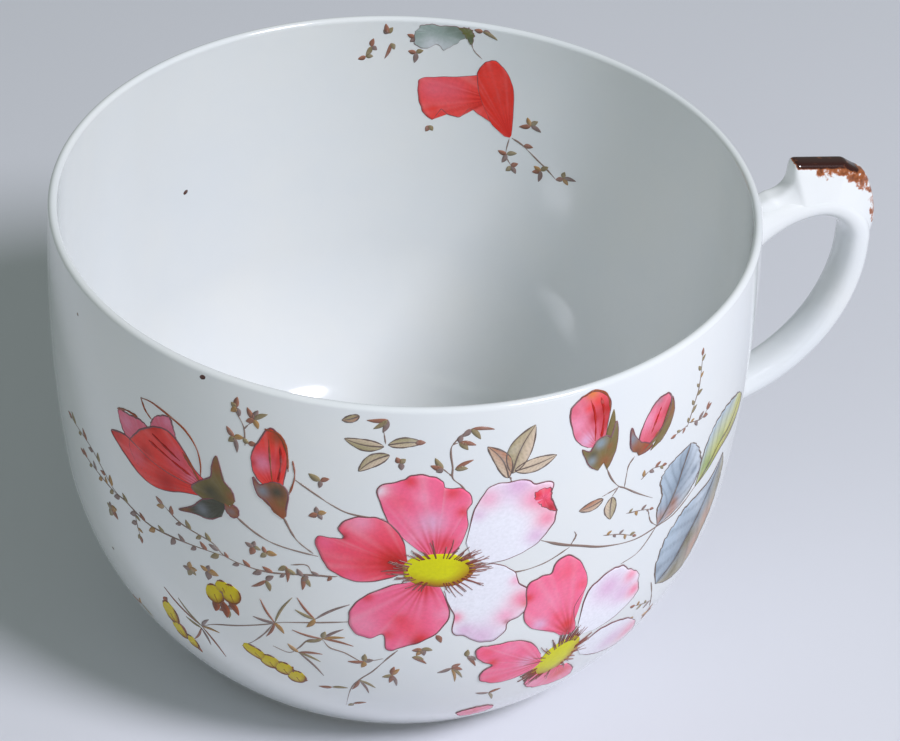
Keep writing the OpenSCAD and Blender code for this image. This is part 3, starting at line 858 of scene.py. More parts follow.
rng = np.random.default_rng(11)
petal_films, line_films, stamen_films, yellow_films = [], [], [], []
for base, ground, edge, dabs in (
    ((5.4, -21.6), PETAL_PINK, (
        (3.4, -19.8), (1.4, -17.8), (-0.3, -15.6), (-1.4, -12.8), (-1.8, -10.2), (0.6, -9.3),
        (1.9, -8.4), (4.0, -8.3), (5.6, -9.2), (6.2, -10.3), (8.2, -10.4), (9.3, -12.4), (8.7, -13.8),
        (9.0, -16.2), (8.0, -19.8),
    ), (
        (4.6, -15.4, 1.9, PETAL_LILAC, 0.75),
        (3.4, -11.6, 0.9, PETAL_BLUSH, 0.50),
        (-1.6, -10.8, 0.9, PETAL_WHITE, 0.80),
        (0.6, -12.2, 1.6, PETAL_ROSE, 0.60),
        (1.9, -9.2, 0.9, PETAL_RED, 0.80),
        (6.9, -10.9, 1.1, PETAL_RED, 0.70),
        (8.3, -13.9, 0.8, PETAL_RED, 0.75),
        (6.4, -18.9, 1.5, PETAL_RED, 0.70),
        (2.6, -17.8, 1.0, PETAL_BLUSH, 0.50),
    )),
    ((2.2, -22.2), PETAL_ROSE, (
        (1.9, -20.6), (1.5, -18.4), (0.0, -15.9), (-2.0, -14.9), (-4.4, -15.2), (-6.3, -16.8),
        (-5.6, -18.4), (-6.9, -18.8), (-8.9, -19.0), (-8.4, -21.8), (-7.2, -23.8), (-5.2, -25.0),
        (-2.6, -25.2), (0.2, -24.2), (1.8, -23.4),
    ), (
        (-3.6, -15.6, 1.7, PETAL_BLUSH, 0.75),
        (-4.2, -24.9, 1.4, PETAL_PINK, 0.70),
        (-7.8, -19.6, 1.2, PETAL_PINK, 0.70),
        (-5.6, -18.2, 0.6, PETAL_DEEP, 0.70),
        (-3.0, -22.6, 1.6, PETAL_RED, 0.45),
        (0.0, -21.4, 2.4, PETAL_RED, 0.95),
        (1.0, -22.0, 1.7, PETAL_DEEP, 0.90),
    )),
    ((4.6, -24.4), PETAL_PINK, (
        (2.2, -25.0), (0.6, -25.4), (-0.8, -26.2), (-2.4, -27.3), (-3.8, -28.8), (-4.6, -30.8),
        (-4.6, -32.8), (-3.5, -34.5), (-1.9, -34.9), (-0.4, -34.1), (0.1, -36.6), (1.0, -37.0),
        (2.4, -36.1), (4.2, -35.5), (6.3, -33.7), (7.6, -31.4), (7.5, -29.4), (6.8, -27.2), (6.2, -25.8),
    ), (
        (-2.6, -32.6, 1.8, PETAL_BLUSH, 0.45),
        (2.4, -32.6, 2.2, PETAL_ROSE, 0.95),
        (1.6, -31.2, 1.0, PETAL_RED, 0.50),
        (4.4, -34.8, 1.3, PETAL_RED, 0.90),
        (3.8, -35.5, 0.7, PETAL_DEEP, 0.80),
        (0.3, -34.2, 0.8, PETAL_RED, 0.70),
        (-2.5, -27.7, 0.8, PETAL_RED, 0.75),
        (4.4, -26.0, 1.3, PETAL_RED, 0.75),
        (7.0, -30.4, 1.0, PETAL_BLUSH, 0.50),
    )),
    ((8.6, -24.2), PETAL_WHITE, (
        (6.8, -26.4), (7.3, -28.4), (8.3, -30.8), (8.3, -33.8), (10.0, -34.8), (11.8, -36.0),
        (13.6, -36.2), (15.2, -34.6), (15.3, -33.2), (17.0, -32.4), (17.7, -30.6), (17.5, -28.2),
        (16.2, -26.6), (15.5, -24.8), (14.2, -23.4), (12.2, -22.6), (10.8, -23.0),
    ), (
        (12.0, -35.2, 2.4, PETAL_LILAC, 0.80),
        (16.9, -29.4, 1.8, PETAL_PINK, 0.85),
        (15.0, -32.0, 1.6, PETAL_BLUSH, 0.85),
        (17.5, -30.4, 0.7, PETAL_RED, 0.60),
        (8.5, -31.2, 0.9, PETAL_PINK, 0.85),
        (9.8, -33.6, 1.2, PETAL_LILAC, 0.80),
        (15.8, -26.0, 0.9, PETAL_BLUSH, 0.80),
        (15.2, -33.1, 0.5, PETAL_DEEP, 0.60),
    )),
    ((9.8, -21.2), PETAL_WHITE, (
        (8.9, -18.8), (9.3, -16.0), (9.6, -13.8), (10.4, -12.0), (11.2, -10.6), (13.0, -10.1),
        (15.6, -10.2), (17.0, -11.0), (19.2, -11.4), (19.1, -13.6), (20.0, -15.8), (19.8, -17.6),
        (18.8, -19.4), (17.4, -20.8), (15.4, -21.8), (12.8, -22.4), (11.2, -22.2),
    ), (
        (11.2, -12.2, 1.7, PETAL_BLUSH, 0.75),
        (14.8, -10.8, 2.2, PETAL_LILAC, 0.95),
        (16.4, -13.2, 1.6, PETAL_BLUSH, 0.60),
        (18.2, -13.4, 1.9, PETAL_PINK, 0.90),
        (18.9, -16.8, 1.7, PETAL_PINK, 0.75),
        (17.6, -19.2, 1.3, PETAL_LILAC, 0.80),
        (10.2, -14.6, 0.9, PETAL_LILAC, 0.60),
    )),
    ((18.2, -13.6), PETAL_ROSE, (
        (17.1, -13.6), (17.1, -12.3), (18.9, -12.1), (19.2, -13.8), (20.0, -15.9), (18.3, -14.9),
        (17.4, -13.9),
    ), (
        (19.2, -15.2, 0.9, PETAL_DEEP, 0.75),
        (17.3, -12.9, 0.6, PETAL_RED, 0.80),
        (18.2, -13.3, 0.5, PETAL_PINK, 0.80),
    )),
    ((24.8, -38.8), PETAL_PINK, (
        (23.4, -38.4), (22.0, -37.0), (20.0, -36.0), (18.4, -34.9), (17.5, -33.0), (17.5, -30.4),
        (17.4, -27.4), (18.8, -26.4), (20.4, -26.2), (20.8, -24.8), (22.4, -23.8), (24.2, -25.4),
        (25.6, -28.0), (26.0, -30.4), (25.2, -32.2), (24.7, -34.0), (25.4, -37.0), (25.6, -38.2),
    ), (
        (20.4, -31.4, 2.2, PETAL_BLUSH, 0.35),
        (19.8, -35.0, 1.2, PETAL_LILAC, 0.80),
        (17.7, -29.6, 0.8, PETAL_RED, 0.85),
        (22.6, -26.6, 1.6, PETAL_ROSE, 0.60),
        (25.3, -29.8, 0.9, PETAL_ROSE, 0.80),
        (24.0, -36.4, 1.3, PETAL_RED, 0.90),
        (24.4, -37.8, 0.8, PETAL_DEEP, 0.80),
        (22.4, -34.4, 0.9, PETAL_ROSE, 0.70),
    )),
    ((26.6, -39.8), PETAL_WHITE, (
        (26.0, -37.4), (26.0, -34.8), (26.3, -32.2), (27.4, -30.6), (30.0, -29.4), (31.8, -29.8),
        (33.0, -31.0), (34.8, -32.4), (35.4, -34.4), (35.8, -36.6), (34.6, -38.0), (32.4, -39.4),
        (29.6, -40.2),
    ), (
        (29.8, -32.4, 2.4, PETAL_LILAC, 0.90),
        (32.6, -34.8, 2.0, PETAL_LILAC, 0.80),
        (33.6, -32.2, 1.2, PETAL_PINK, 0.70),
        (34.9, -35.6, 1.3, PETAL_PINK, 0.80),
    )),
    ((27.6, -43.6), PETAL_WHITE, (
        (28.6, -42.0), (31.0, -40.8), (35.0, -41.6), (38.6, -44.4), (40.6, -48.4), (38.6, -50.0),
        (34.0, -48.6), (30.8, -47.0), (28.6, -45.4),
    ), (
        (38.4, -46.4, 2.8, PETAL_PINK, 0.70),
        (34.4, -45.6, 2.4, PETAL_LILAC, 0.70),
    )),
    ((25.2, -46.6), PETAL_PINK, (
        (22.2, -46.4), (20.7, -47.6), (21.0, -49.6), (23.0, -51.4), (27.0, -52.6), (29.6, -52.2),
        (29.0, -49.4), (27.2, -47.0),
    ), (
        (26.4, -48.8, 1.6, PETAL_RED, 0.90),
        (22.4, -49.6, 1.4, PETAL_BLUSH, 0.60),
    )),
    ((21.6, -43.4), PETAL_PINK, (
        (21.2, -41.4), (20.0, -39.2), (18.4, -37.6), (16.0, -37.0), (13.6, -37.2), (12.0, -37.2),
        (11.8, -39.0), (13.0, -40.4), (14.3, -41.5), (13.0, -42.8), (13.2, -44.8), (15.0, -46.0),
        (17.4, -46.2), (19.6, -45.4), (21.0, -44.6),
    ), (
        (14.2, -40.8, 0.9, PETAL_RED, 0.85),
        (13.2, -38.4, 1.0, PETAL_ROSE, 0.70),
        (19.2, -42.2, 1.3, PETAL_LILAC, 0.70),
        (16.4, -38.2, 1.3, PETAL_BLUSH, 0.45),
        (15.0, -45.4, 1.2, PETAL_ROSE, 0.60),
    )),
    ((14.8, -56.8), PETAL_PINK, (
        (12.2, -57.2), (12.0, -55.8), (14.4, -54.6), (16.8, -54.8), (17.9, -56.4), (16.6, -58.2),
        (13.6, -58.6), (12.2, -57.4),
    ), (
        (14.8, -55.4, 0.9, PETAL_ROSE, 0.70),
        (16.4, -57.4, 0.9, PETAL_BLUSH, 0.70),
    )),
):
    paint_petal(base, edge, ground, dabs, petal_films, line_films)
for middle, long, short, tilt, seed, count, reach in (
    ((5.9, -23.0), 4.4, 2.7, -0.06, 1.0, 64, 2.7),
    ((24.1, -43.7), 4.3, 2.8, 1.05, 2.0, 54, 2.5),
):
    yellow_films.append(oval_dome(middle, long, short, tilt, CENTRE_RISE, seed))
    stamen_films += stamens(middle, long - STAMEN_INSET, short - STAMEN_INSET, tilt, count, reach)

make_print("rose_petals", petal_films, PETAL_ENAMEL, outside)
make_print("rose_outlines", line_films, LINE_INK, outside)
make_print("rose_stamens", stamen_films, LINE_INK, outside)
make_print("rose_centres", yellow_films, YELLOW_ENAMEL, outside)


# Rose buds: one half open on the left and three still shut, their red petals held in a dark
# grey-green calyx. Printed and coloured like the open flowers, with folds in deeper red.
BUD_RED = ink(246, 62, 50)
BUD_PINK = ink(228, 106, 130)
BUD_BLUSH = ink(240, 150, 180)
BUD_DEEP = ink(186, 22, 8)
BUD_BROWN = ink(150, 74, 40)
BUD_ORANGE = ink(228, 128, 64)
CALYX_DARK = ink(74, 74, 60)
CALYX_GREY = ink(138, 142, 152)
CALYX_BLUE = ink(140, 156, 168)
CALYX_BROWN = ink(150, 92, 58)
CALYX_OLIVE = ink(124, 108, 62)
BUD_LIFT = 0.02
CALYX_LIFT = 0.072
FOLD_LIFT = 0.064
SIDE_SEPAL_LIFT = 0.066


def blade(base, tip, half, bow, low, high, lift, veins=0.0, fat=0.8, rows=6, columns=3):
    """Leaf or sepal from base to tip.

    Its width is a half sine pushed towards the base; its middle line bows to the left by a share
    of its length; colour runs from low on its right to high on its left and is darkened along
    slanting veins."""
    base, tip = np.asarray(base, dtype=float), np.asarray(tip, dtype=float)
    along = np.linspace(0, 1, rows)[:, None]
    across = np.linspace(-1, 1, columns)[None, :]
    run = tip - base
    left = np.array([-run[1], run[0]])
    left_unit = left / np.linalg.norm(left)
    wide = (half * np.sin(np.pi * along ** fat) ** 0.85 + 0.03) * across
    swing = bow * np.sin(np.pi * along)
    s = base[0] + run[0] * along + left[0] * swing + left_unit[0] * wide
    t = base[1] + run[1] * along + left[1] * swing + left_unit[1] * wide
    mix = 0.5 + 0.5 * across + 0.18 * np.sin(5 * along + base[0])
    rib = veins * (0.5 + 0.5 * np.sin(2 * np.pi * (7 * along - 2.2 * np.abs(across)))) ** 3
    rib = rib + 1.4 * veins * np.exp(-(across / 0.16) ** 2)
    mix = np.clip(mix, 0, 1)[..., None]
    colour = (low + (high - low) * mix) * (1 - np.clip(rib, 0, 0.8))[..., None]
    return s, t, np.full(s.shape, lift), colour


bud_films, calyx_films, bud_lines = [], [], []
for base, ground, edge, dabs in (
    ((-29.4, -11.6), BUD_PINK, (
        (-31.8, -11.4), (-31.4, -10.2), (-30.6, -9.2), (-28.8, -8.4), (-28.2, -9.4), (-27.6, -11.0),
    ), ((-29.0, -9.2, 0.8, BUD_BLUSH, 0.6),)),
    ((-33.0, -15.0), BUD_PINK, (
        (-36.0, -15.6), (-37.0, -14.4), (-37.6, -12.2), (-35.6, -11.8), (-33.4, -11.4), (-31.6, -12.0),
    ), ((-36.0, -13.2, 1.0, BUD_BLUSH, 0.6),)),
    ((-23.0, -16.6), BUD_RED, (
        (-22.9, -15.6), (-24.8, -14.4), (-26.2, -12.6), (-28.0, -10.9), (-29.8, -10.6), (-31.6, -11.4),
        (-33.4, -12.8), (-35.0, -14.8), (-35.6, -16.4), (-34.0, -18.6), (-30.0, -19.4), (-26.4, -18.2),
        (-22.8, -17.4),
    ), (
        (-27.4, -14.2, 1.8, BUD_PINK, 0.80),
        (-25.2, -16.0, 1.2, BUD_BLUSH, 0.75),
        (-31.4, -14.6, 2.2, BUD_RED, 0.60),
        (-31.0, -11.4, 1.0, BUD_DEEP, 0.50),
        (-32.6, -16.0, 1.3, BUD_DEEP, 0.75),
        (-29.6, -12.8, 0.8, BUD_DEEP, 0.35),
    )),
    ((-23.0, -17.2), BUD_RED, (
        (-23.2, -16.9), (-28.0, -17.0), (-31.6, -16.6), (-34.6, -15.7), (-36.6, -15.4), (-39.2, -16.5),
        (-37.6, -17.8), (-35.4, -19.2), (-33.4, -20.2), (-31.0, -20.4), (-28.6, -19.7), (-26.4, -18.7),
        (-23.2, -17.9),
    ), (
        (-34.4, -17.4, 1.6, BUD_PINK, 0.55),
        (-38.0, -16.2, 1.2, PETAL_DEEP, 0.50),
        (-29.2, -18.6, 1.8, BUD_DEEP, 0.80),
        (-32.6, -16.6, 0.8, BUD_DEEP, 0.60),
    )),
    ((-14.2, -13.2), BUD_RED, (
        (-15.4, -13.0), (-16.5, -12.0), (-17.1, -10.4), (-17.1, -8.6), (-16.3, -6.7), (-15.2, -4.6),
        (-14.3, -4.6), (-13.1, -5.8), (-12.6, -7.9), (-12.8, -10.2), (-13.2, -12.9),
    ), (
        (-15.6, -9.4, 1.5, BUD_PINK, 0.95),
        (-15.7, -9.8, 1.0, BUD_BLUSH, 0.60),
        (-13.7, -8.8, 1.1, BUD_DEEP, 0.45),
        (-14.0, -5.4, 1.2, BUD_BROWN, 0.90),
        (-16.9, -10.0, 0.5, BUD_DEEP, 0.60),
    )),
    ((25.0, -8.0), BUD_PINK, (
        (23.6, -7.6), (22.5, -6.8), (21.6, -5.5), (21.1, -3.7), (20.8, -2.2), (21.1, -1.0), (22.1, -0.2),
        (23.0, 0.2), (23.9, 0.4), (25.0, 0.0), (25.8, -0.8), (26.4, -2.0), (26.3, -3.6), (26.1, -5.2),
        (25.9, -7.2),
    ), (
        (21.9, -3.8, 1.4, BUD_BLUSH, 0.90),
        (24.7, -1.2, 1.2, BUD_RED, 0.80),
        (26.0, -2.8, 1.6, BUD_DEEP, 0.95),
        (26.2, -5.0, 1.3, BUD_DEEP, 0.85),
        (24.2, -3.4, 0.9, BUD_DEEP, 0.75),
        (23.3, -1.9, 0.5, BUD_RED, 0.60),
        (23.7, 0.2, 0.9, BUD_ORANGE, 0.95),
        (23.3, -6.4, 1.1, PETAL_LILAC, 0.80),
    )),
    ((31.8, -11.0), BUD_PINK, (
        (31.3, -10.4), (31.3, -9.0), (31.8, -7.4), (32.6, -6.0), (33.6, -4.9), (34.7, -4.5), (35.8, -4.6),
        (36.3, -5.4), (36.2, -7.0), (35.4, -8.6), (34.2, -9.9), (32.9, -10.8),
    ), (
        (32.4, -7.0, 1.3, BUD_BLUSH, 0.90),
        (34.2, -7.4, 0.7, PETAL_ROSE, 0.90),
        (36.2, -7.4, 1.3, BUD_DEEP, 0.85),
        (34.4, -10.2, 1.3, BUD_DEEP, 0.80),
        (34.2, -4.8, 0.7, CALYX_GREY, 0.55),
    )),
):
    paint_petal(
        base, edge, ground, dabs, bud_films, bud_lines,
        streak=0.10, rag=0.04, width=0.24, count=60, low=BUD_LIFT,
    )
for base, ground, edge, dabs in (
    ((-19.6, -17.6), CALYX_OLIVE, (
        (-20.8, -18.0), (-23.0, -18.4), (-25.2, -17.5), (-24.6, -16.2), (-22.6, -14.4), (-22.4, -12.6),
        (-21.8, -10.9), (-21.2, -12.6), (-20.8, -14.2), (-19.6, -15.4), (-19.2, -16.8),
    ), (
        (-21.8, -12.4, 1.2, CALYX_BROWN, 0.85),
        (-22.6, -16.6, 1.2, CALYX_DARK, 0.85),
        (-21.4, -17.4, 1.1, CALYX_DARK, 0.60),
        (-19.6, -16.2, 0.7, CALYX_BROWN, 0.80),
    )),
    ((-20.4, -17.8), CALYX_DARK, (
        (-22.2, -17.6), (-23.8, -18.5), (-25.2, -20.2), (-27.4, -21.9), (-25.0, -21.3), (-22.8, -21.1),
        (-21.0, -19.9),
    ), (
        (-23.8, -20.0, 0.9, CALYX_GREY, 0.70),
        (-26.2, -21.4, 0.9, CALYX_BROWN, 0.70),
    )),
    ((-19.9, -17.9), CALYX_BROWN, (
        (-20.6, -17.6), (-20.4, -18.7), (-19.6, -19.4), (-18.8, -19.0), (-18.8, -17.9), (-19.6, -17.4),
    ), ((-19.7, -18.5, 0.6, CALYX_GREY, 0.50),)),
    ((-13.0, -17.3), CALYX_BROWN, (
        (-14.2, -16.6), (-15.0, -15.2), (-16.2, -14.6), (-16.9, -12.2), (-16.0, -13.0), (-15.0, -12.4),
        (-14.0, -12.0), (-12.9, -12.4), (-12.4, -13.6), (-12.6, -15.4), (-12.6, -16.8),
    ), (
        (-15.6, -13.8, 0.9, CALYX_GREY, 0.95),
        (-13.8, -13.4, 1.1, CALYX_DARK, 0.95),
        (-13.2, -15.0, 0.7, CALYX_OLIVE, 0.60),
    )),
    ((26.0, -10.6), CALYX_OLIVE, (
        (25.3, -11.5), (24.2, -10.7), (23.4, -9.3), (22.8, -7.7), (23.9, -8.3), (24.5, -7.3),
        (25.3, -6.7), (26.2, -6.7), (26.8, -7.0), (27.4, -5.0), (27.8, -7.2), (27.6, -9.4),
        (27.1, -10.8), (26.6, -11.9),
    ), (
        (25.3, -7.5, 0.8, CALYX_BLUE, 0.95),
        (24.3, -8.9, 0.6, CALYX_DARK, 0.70),
        (24.2, -9.8, 0.7, CALYX_BLUE, 0.80),
        (26.2, -10.4, 0.9, CALYX_BROWN, 0.75),
        (26.7, -8.4, 0.5, CALYX_BROWN, 0.60),
    )),
    ((31.1, -11.2), CALYX_BROWN, (
        (30.4, -10.8), (30.0, -9.9), (29.8, -8.4), (29.9, -7.1), (30.5, -8.4), (31.1, -9.2),
        (31.7, -9.9), (32.8, -10.5), (33.6, -11.2), (32.6, -11.7), (31.4, -11.8),
    ), (
        (30.1, -8.8, 1.0, CALYX_GREY, 0.95),
        (31.0, -11.2, 0.6, CALYX_DARK, 0.60),
        (32.6, -11.0, 0.6, BUD_DEEP, 0.50),
    )),
    ((34.4, -10.6), CALYX_OLIVE, (
        (31.6, -11.8), (33.0, -10.9), (34.3, -10.0), (35.4, -8.7), (36.2, -7.1), (36.4, -5.4),
        (37.0, -7.2), (36.6, -9.2), (35.3, -11.0), (33.4, -11.9),
    ), ((36.6, -7.4, 1.2, CALYX_BROWN, 0.70),)),
):
    paint_petal(
        base, edge, ground, dabs, calyx_films, bud_lines,
        streak=0.06, rag=0.03, width=0.20, count=48, low=CALYX_LIFT,
    )
for points, width in (
    ((
        (-33.4, -8.0), (-31.4, -7.7), (-28.4, -8.3), (-26.2, -9.2), (-24.6, -11.0), (-24.0, -13.2),
        (-24.0, -15.0),
    ), 0.28),
    (((-33.4, -8.0), (-32.6, -9.4), (-31.6, -10.2)), 0.24),
    (((-37.8, -12.2), (-36.0, -11.4), (-34.0, -11.2)), 0.34),
    (((-26.6, -12.6), (-25.4, -14.0), (-24.2, -15.8)), 0.50),
    (((-15.6, -4.7), (-13.8, -5.0), (-12.8, -7.0), (-12.5, -10.0)), 0.40),
    (((-12.0, -8.3), (-11.7, -10.6), (-12.3, -13.4)), 0.24),
    (((-15.0, -6.0), (-14.8, -8.6), (-14.4, -12.2)), 0.26),
    (((22.2, -0.1), (24.0, 0.4), (25.8, -0.8), (26.4, -3.2)), 0.34),
):
    bud_lines.append(stroke(flow(points, 30), pressed(30, width, points[0][0]), FOLD_LIFT, BUD_BROWN))
for points, width, colour in (
    (((23.5, -0.8), (24.1, -2.6), (24.4, -4.8), (24.5, -6.9)), 0.32, BUD_DEEP),
    (((24.9, -0.8), (25.4, -2.6), (25.5, -4.6), (25.3, -6.9)), 0.40, BUD_DEEP),
    (((34.6, -6.0), (33.9, -7.6), (33.2, -9.3)), 0.36, BUD_DEEP),
    (((32.2, -11.5), (33.5, -10.8), (34.9, -9.5)), 0.70, CALYX_BROWN),
    (((-25.4, -15.6), (-28.6, -14.6), (-32.0, -13.6)), 0.40, BUD_DEEP),
    (((-27.0, -14.1), (-29.4, -13.1), (-31.4, -12.3)), 0.40, PETAL_DEEP),
    (((-13.6, -6.6), (-13.4, -9.0), (-13.7, -11.8)), 0.34, PETAL_DEEP),
):
    bud_lines.append(stroke(flow(points, 30), pressed(30, width, points[0][0]), FOLD_LIFT, colour))
calyx_films.append(blade(
    (26.3, -7.8), (26.9, -3.2), 0.52, -0.03, CALYX_OLIVE, CALYX_OLIVE, SIDE_SEPAL_LIFT,
    fat=0.7, rows=20, columns=5,
))

make_print("bud_petals", bud_films, PETAL_ENAMEL, outside)
make_print("bud_calyxes", calyx_films, PETAL_ENAMEL, outside)
make_print("bud_outlines", bud_lines, LINE_INK, outside)


# Leaves: beige rose leaves among the flowers, and on the right a spray of large blue-grey ones
# that turn olive and yellow at their edges. Flat washes under a printed brown edge and midrib.
LEAF_BEIGE = ink(220, 198, 174)
LEAF_OLIVE = ink(172, 160, 122)
LEAF_RUST = ink(188, 132, 104)
LEAF_PALE = ink(206, 216, 228)
LEAF_BLUE = ink(178, 194, 210)
LEAF_SLATE = ink(132, 146, 162)
LEAF_YELLOW = ink(208, 204, 72)
LEAF_GREEN = ink(136, 160, 74)
LEAF_MOSS = ink(120, 106, 54)
LEAF_INK = ink(114, 98, 90)
LEAF_WASH = enamel("leaf_wash", thin=0.16, roughness=0.22)
LEAF_LIFT = 0.024
BROAD_LEAF_LIFT = 0.030
BROAD_LEAF_STEP = 0.004


def edged(film, lines, width, seed, colour):
    """Adds a pen line round a blade's two edges, from its base to its tip."""
    s, t, lift, _ = film
    for side in (0, -1):
        path = np.stack([s[:, side], t[:, side]], axis=-1)
        lines.append(stroke(path, pressed(len(path), width, seed + side), lift.max() + LINE_STEP, colour))
    return film


def leaf_half(rib, edge, inner, outer, dabs, lift, rows=60, columns=9):
    """Half a leaf: a net between its rib and its toothed edge, both smooth paths through placed points.

    Colour runs from the rib out to the edge, is dabbed over softly and darkened along side veins."""
    middle, rim = flow(rib, rows), flow(edge, rows)
    teeth = 1 - 0.06 * (np.linspace(0, 11, rows) % 1)[:, None]
    across = np.linspace(0, 1, columns)[:, None]
    grid = middle[:, None, :] + ((rim - middle) * teeth)[:, None, :] * across
    s, t = grid[..., 0], grid[..., 1]
    colour = dab_over(inner + (outer - inner) * across + 0 * grid[..., :1], s, t, dabs)
    slant = np.linspace(0, 6, rows)[:, None] - 1.4 * across[:, 0]
    vein = 0.28 * (0.5 + 0.5 * np.sin(2 * np.pi * slant)) ** 5
    return s, t, np.full(s.shape, lift), colour * (1 - vein)[..., None]


leaf_films, leaf_lines = [], []
for base, tip, half, bow, low, high in (
    ((-1.4, -4.4), (-6.0, -3.8), 0.75, 0.06, LEAF_BEIGE, LEAF_OLIVE),
    ((-0.9, -4.1), (3.2, -3.6), 0.65, 0.05, LEAF_BEIGE, LEAF_OLIVE),
    ((-0.7, -5.5), (-4.2, -8.2), 0.80, -0.08, LEAF_OLIVE, LEAF_BEIGE),
    ((-4.4, -0.4), (-6.4, -1.3), 0.45, 0.05, LEAF_OLIVE, LEAF_RUST),
    ((13.5, -9.5), (10.7, -4.6), 0.95, -0.10, LEAF_RUST, LEAF_BEIGE),
    ((13.9, -8.9), (16.4, -2.4), 1.45, 0.06, LEAF_BEIGE, LEAF_OLIVE),
    ((14.2, -8.6), (19.4, -7.4), 0.95, -0.03, LEAF_BEIGE, LEAF_BEIGE),
    ((26.6, -16.5), (23.2, -17.1), 0.70, 0.05, LEAF_RUST, LEAF_BEIGE),
    ((27.9, -16.7), (28.1, -20.3), 0.85, -0.04, LEAF_BEIGE, LEAF_OLIVE),
):
    film = blade(base, tip, half, bow, low, high, LEAF_LIFT, veins=0.22, fat=0.85, rows=28, columns=9)
    leaf_films.append(edged(film, leaf_lines, 0.20, base[0], LEAF_INK))
    rib = np.stack([film[0][:, 4], film[1][:, 4]], axis=-1)
    leaf_lines.append(stroke(rib, np.linspace(0.22, 0.07, len(rib)), film[2].max() + LINE_STEP, LEAF_INK))

small_leaves = len(leaf_films)
UPPER_RIB = ((36.9, -25.8), (38.6, -23.6), (39.8, -21.2), (40.5, -18.6), (41.6, -15.2))
TIP_RIB = ((44.6, -24.0), (47.6, -22.4), (50.3, -20.7), (53.6, -20.0), (57.4, -17.4))
LOWER_RIB = ((52.9, -24.0), (50.3, -27.4), (47.5, -31.1), (45.3, -33.4), (43.2, -36.0), (40.0, -37.9))
for rib, edge, inner, outer, dabs in (
    (UPPER_RIB, (
        (36.9, -25.8), (36.3, -23.0), (36.8, -20.9), (36.0, -18.1), (36.8, -16.7), (38.6, -15.8),
        (41.6, -15.2),
    ), LEAF_SLATE, LEAF_BLUE, (
        (37.6, -18.6, 1.6, LEAF_BLUE, 0.60),
        (37.0, -25.0, 1.5, LEAF_RUST, 0.70),
    )),
    (UPPER_RIB, (
        (36.9, -25.8), (40.6, -25.2), (43.6, -23.6), (45.2, -20.9), (44.4, -18.2), (42.9, -16.0),
        (41.6, -15.2),
    ), LEAF_SLATE, LEAF_PALE, (
        (39.6, -23.4, 0.8, CALYX_BROWN, 0.90),
        (39.6, -25.2, 1.6, LEAF_RUST, 0.80),
        (43.4, -20.4, 0.7, LEAF_SLATE, 0.90),
        (43.0, -24.4, 1.2, LEAF_MOSS, 0.50),
    )),
    (TIP_RIB, (
        (44.6, -24.0), (45.4, -19.0), (46.7, -16.6), (48.4, -15.4), (51.0, -15.0), (55.2, -16.0),
        (57.4, -17.4),
    ), LEAF_YELLOW, LEAF_BLUE, (
        (46.8, -21.8, 1.8, LEAF_GREEN, 0.85),
        (50.4, -19.6, 1.0, LEAF_GREEN, 0.60),
        (56.0, -17.4, 1.6, LEAF_YELLOW, 0.90),
    )),
    (TIP_RIB, (
        (44.6, -24.0), (47.8, -23.2), (51.0, -22.0), (55.3, -21.6), (58.3, -20.2), (58.8, -18.8),
        (57.4, -17.4),
    ), LEAF_YELLOW, LEAF_MOSS, (
        (56.4, -19.0, 1.6, LEAF_YELLOW, 0.80),
        (47.6, -22.9, 1.8, LEAF_GREEN, 0.80),
    )),
    (LOWER_RIB, (
        (52.9, -24.0), (49.4, -25.9), (45.7, -26.1), (42.8, -26.4), (41.2, -27.5), (39.5, -29.2),
        (38.8, -31.4), (38.6, -34.2), (40.0, -37.9),
    ), LEAF_SLATE, LEAF_BLUE, (
        (40.8, -31.0, 2.0, LEAF_BLUE, 0.70),
        (39.2, -34.6, 1.0, LEAF_SLATE, 0.70),
        (47.0, -27.4, 2.0, LEAF_PALE, 0.60),
    )),
    (LOWER_RIB, (
        (52.9, -24.0), (54.4, -27.1), (54.2, -31.0), (53.2, -34.0), (51.5, -35.8), (50.0, -38.6),
        (47.6, -40.4), (43.6, -39.8), (40.0, -37.9),
    ), LEAF_SLATE, LEAF_OLIVE, (
        (46.4, -34.2, 2.0, LEAF_MOSS, 0.90),
        (51.4, -33.4, 2.0, LEAF_RUST, 0.80),
        (49.0, -36.8, 2.0, LEAF_RUST, 0.85),
        (44.4, -38.2, 2.2, LEAF_MOSS, 0.90),
        (53.4, -28.4, 1.8, LEAF_MOSS, 0.70),
    )),
):
    lift = BROAD_LEAF_LIFT + BROAD_LEAF_STEP * (len(leaf_films) - small_leaves)
    half = leaf_half(rib, edge, inner, outer, dabs, lift)
    leaf_films.append(half)
    path = np.stack([half[0][:, -1], half[1][:, -1]], axis=-1)
    leaf_lines.append(stroke(path, pressed(len(path), 0.26, edge[1][0]), lift + LINE_STEP, LEAF_INK))
    leaf_lines.append(stroke(flow(rib, 40), pressed(40, 0.34, rib[0][0]), lift + 2 * LINE_STEP, LEAF_INK))

make_print("leaf_washes", leaf_films, LEAF_WASH, outside)
make_print("leaf_lines", leaf_lines, LINE_INK, outside)


# Twigs and sprigs: the thin brown stems that tie the spray together, with small leaves along
# them and star-shaped tufts among them. Printed in brown line and touched with ochre and grey.
TWIG = ink(140, 118, 108)
SPRIG_TONES = (ink(162, 112, 92), ink(156, 140, 106), ink(148, 126, 120), ink(182, 142, 92))
TWIG_LIFT = 0.03
SPRIG_LIFT = 0.035
SPRIG_BOW = 0.05
SPRIG_SLIM = 0.23

twig_films, sprig_films = [], []


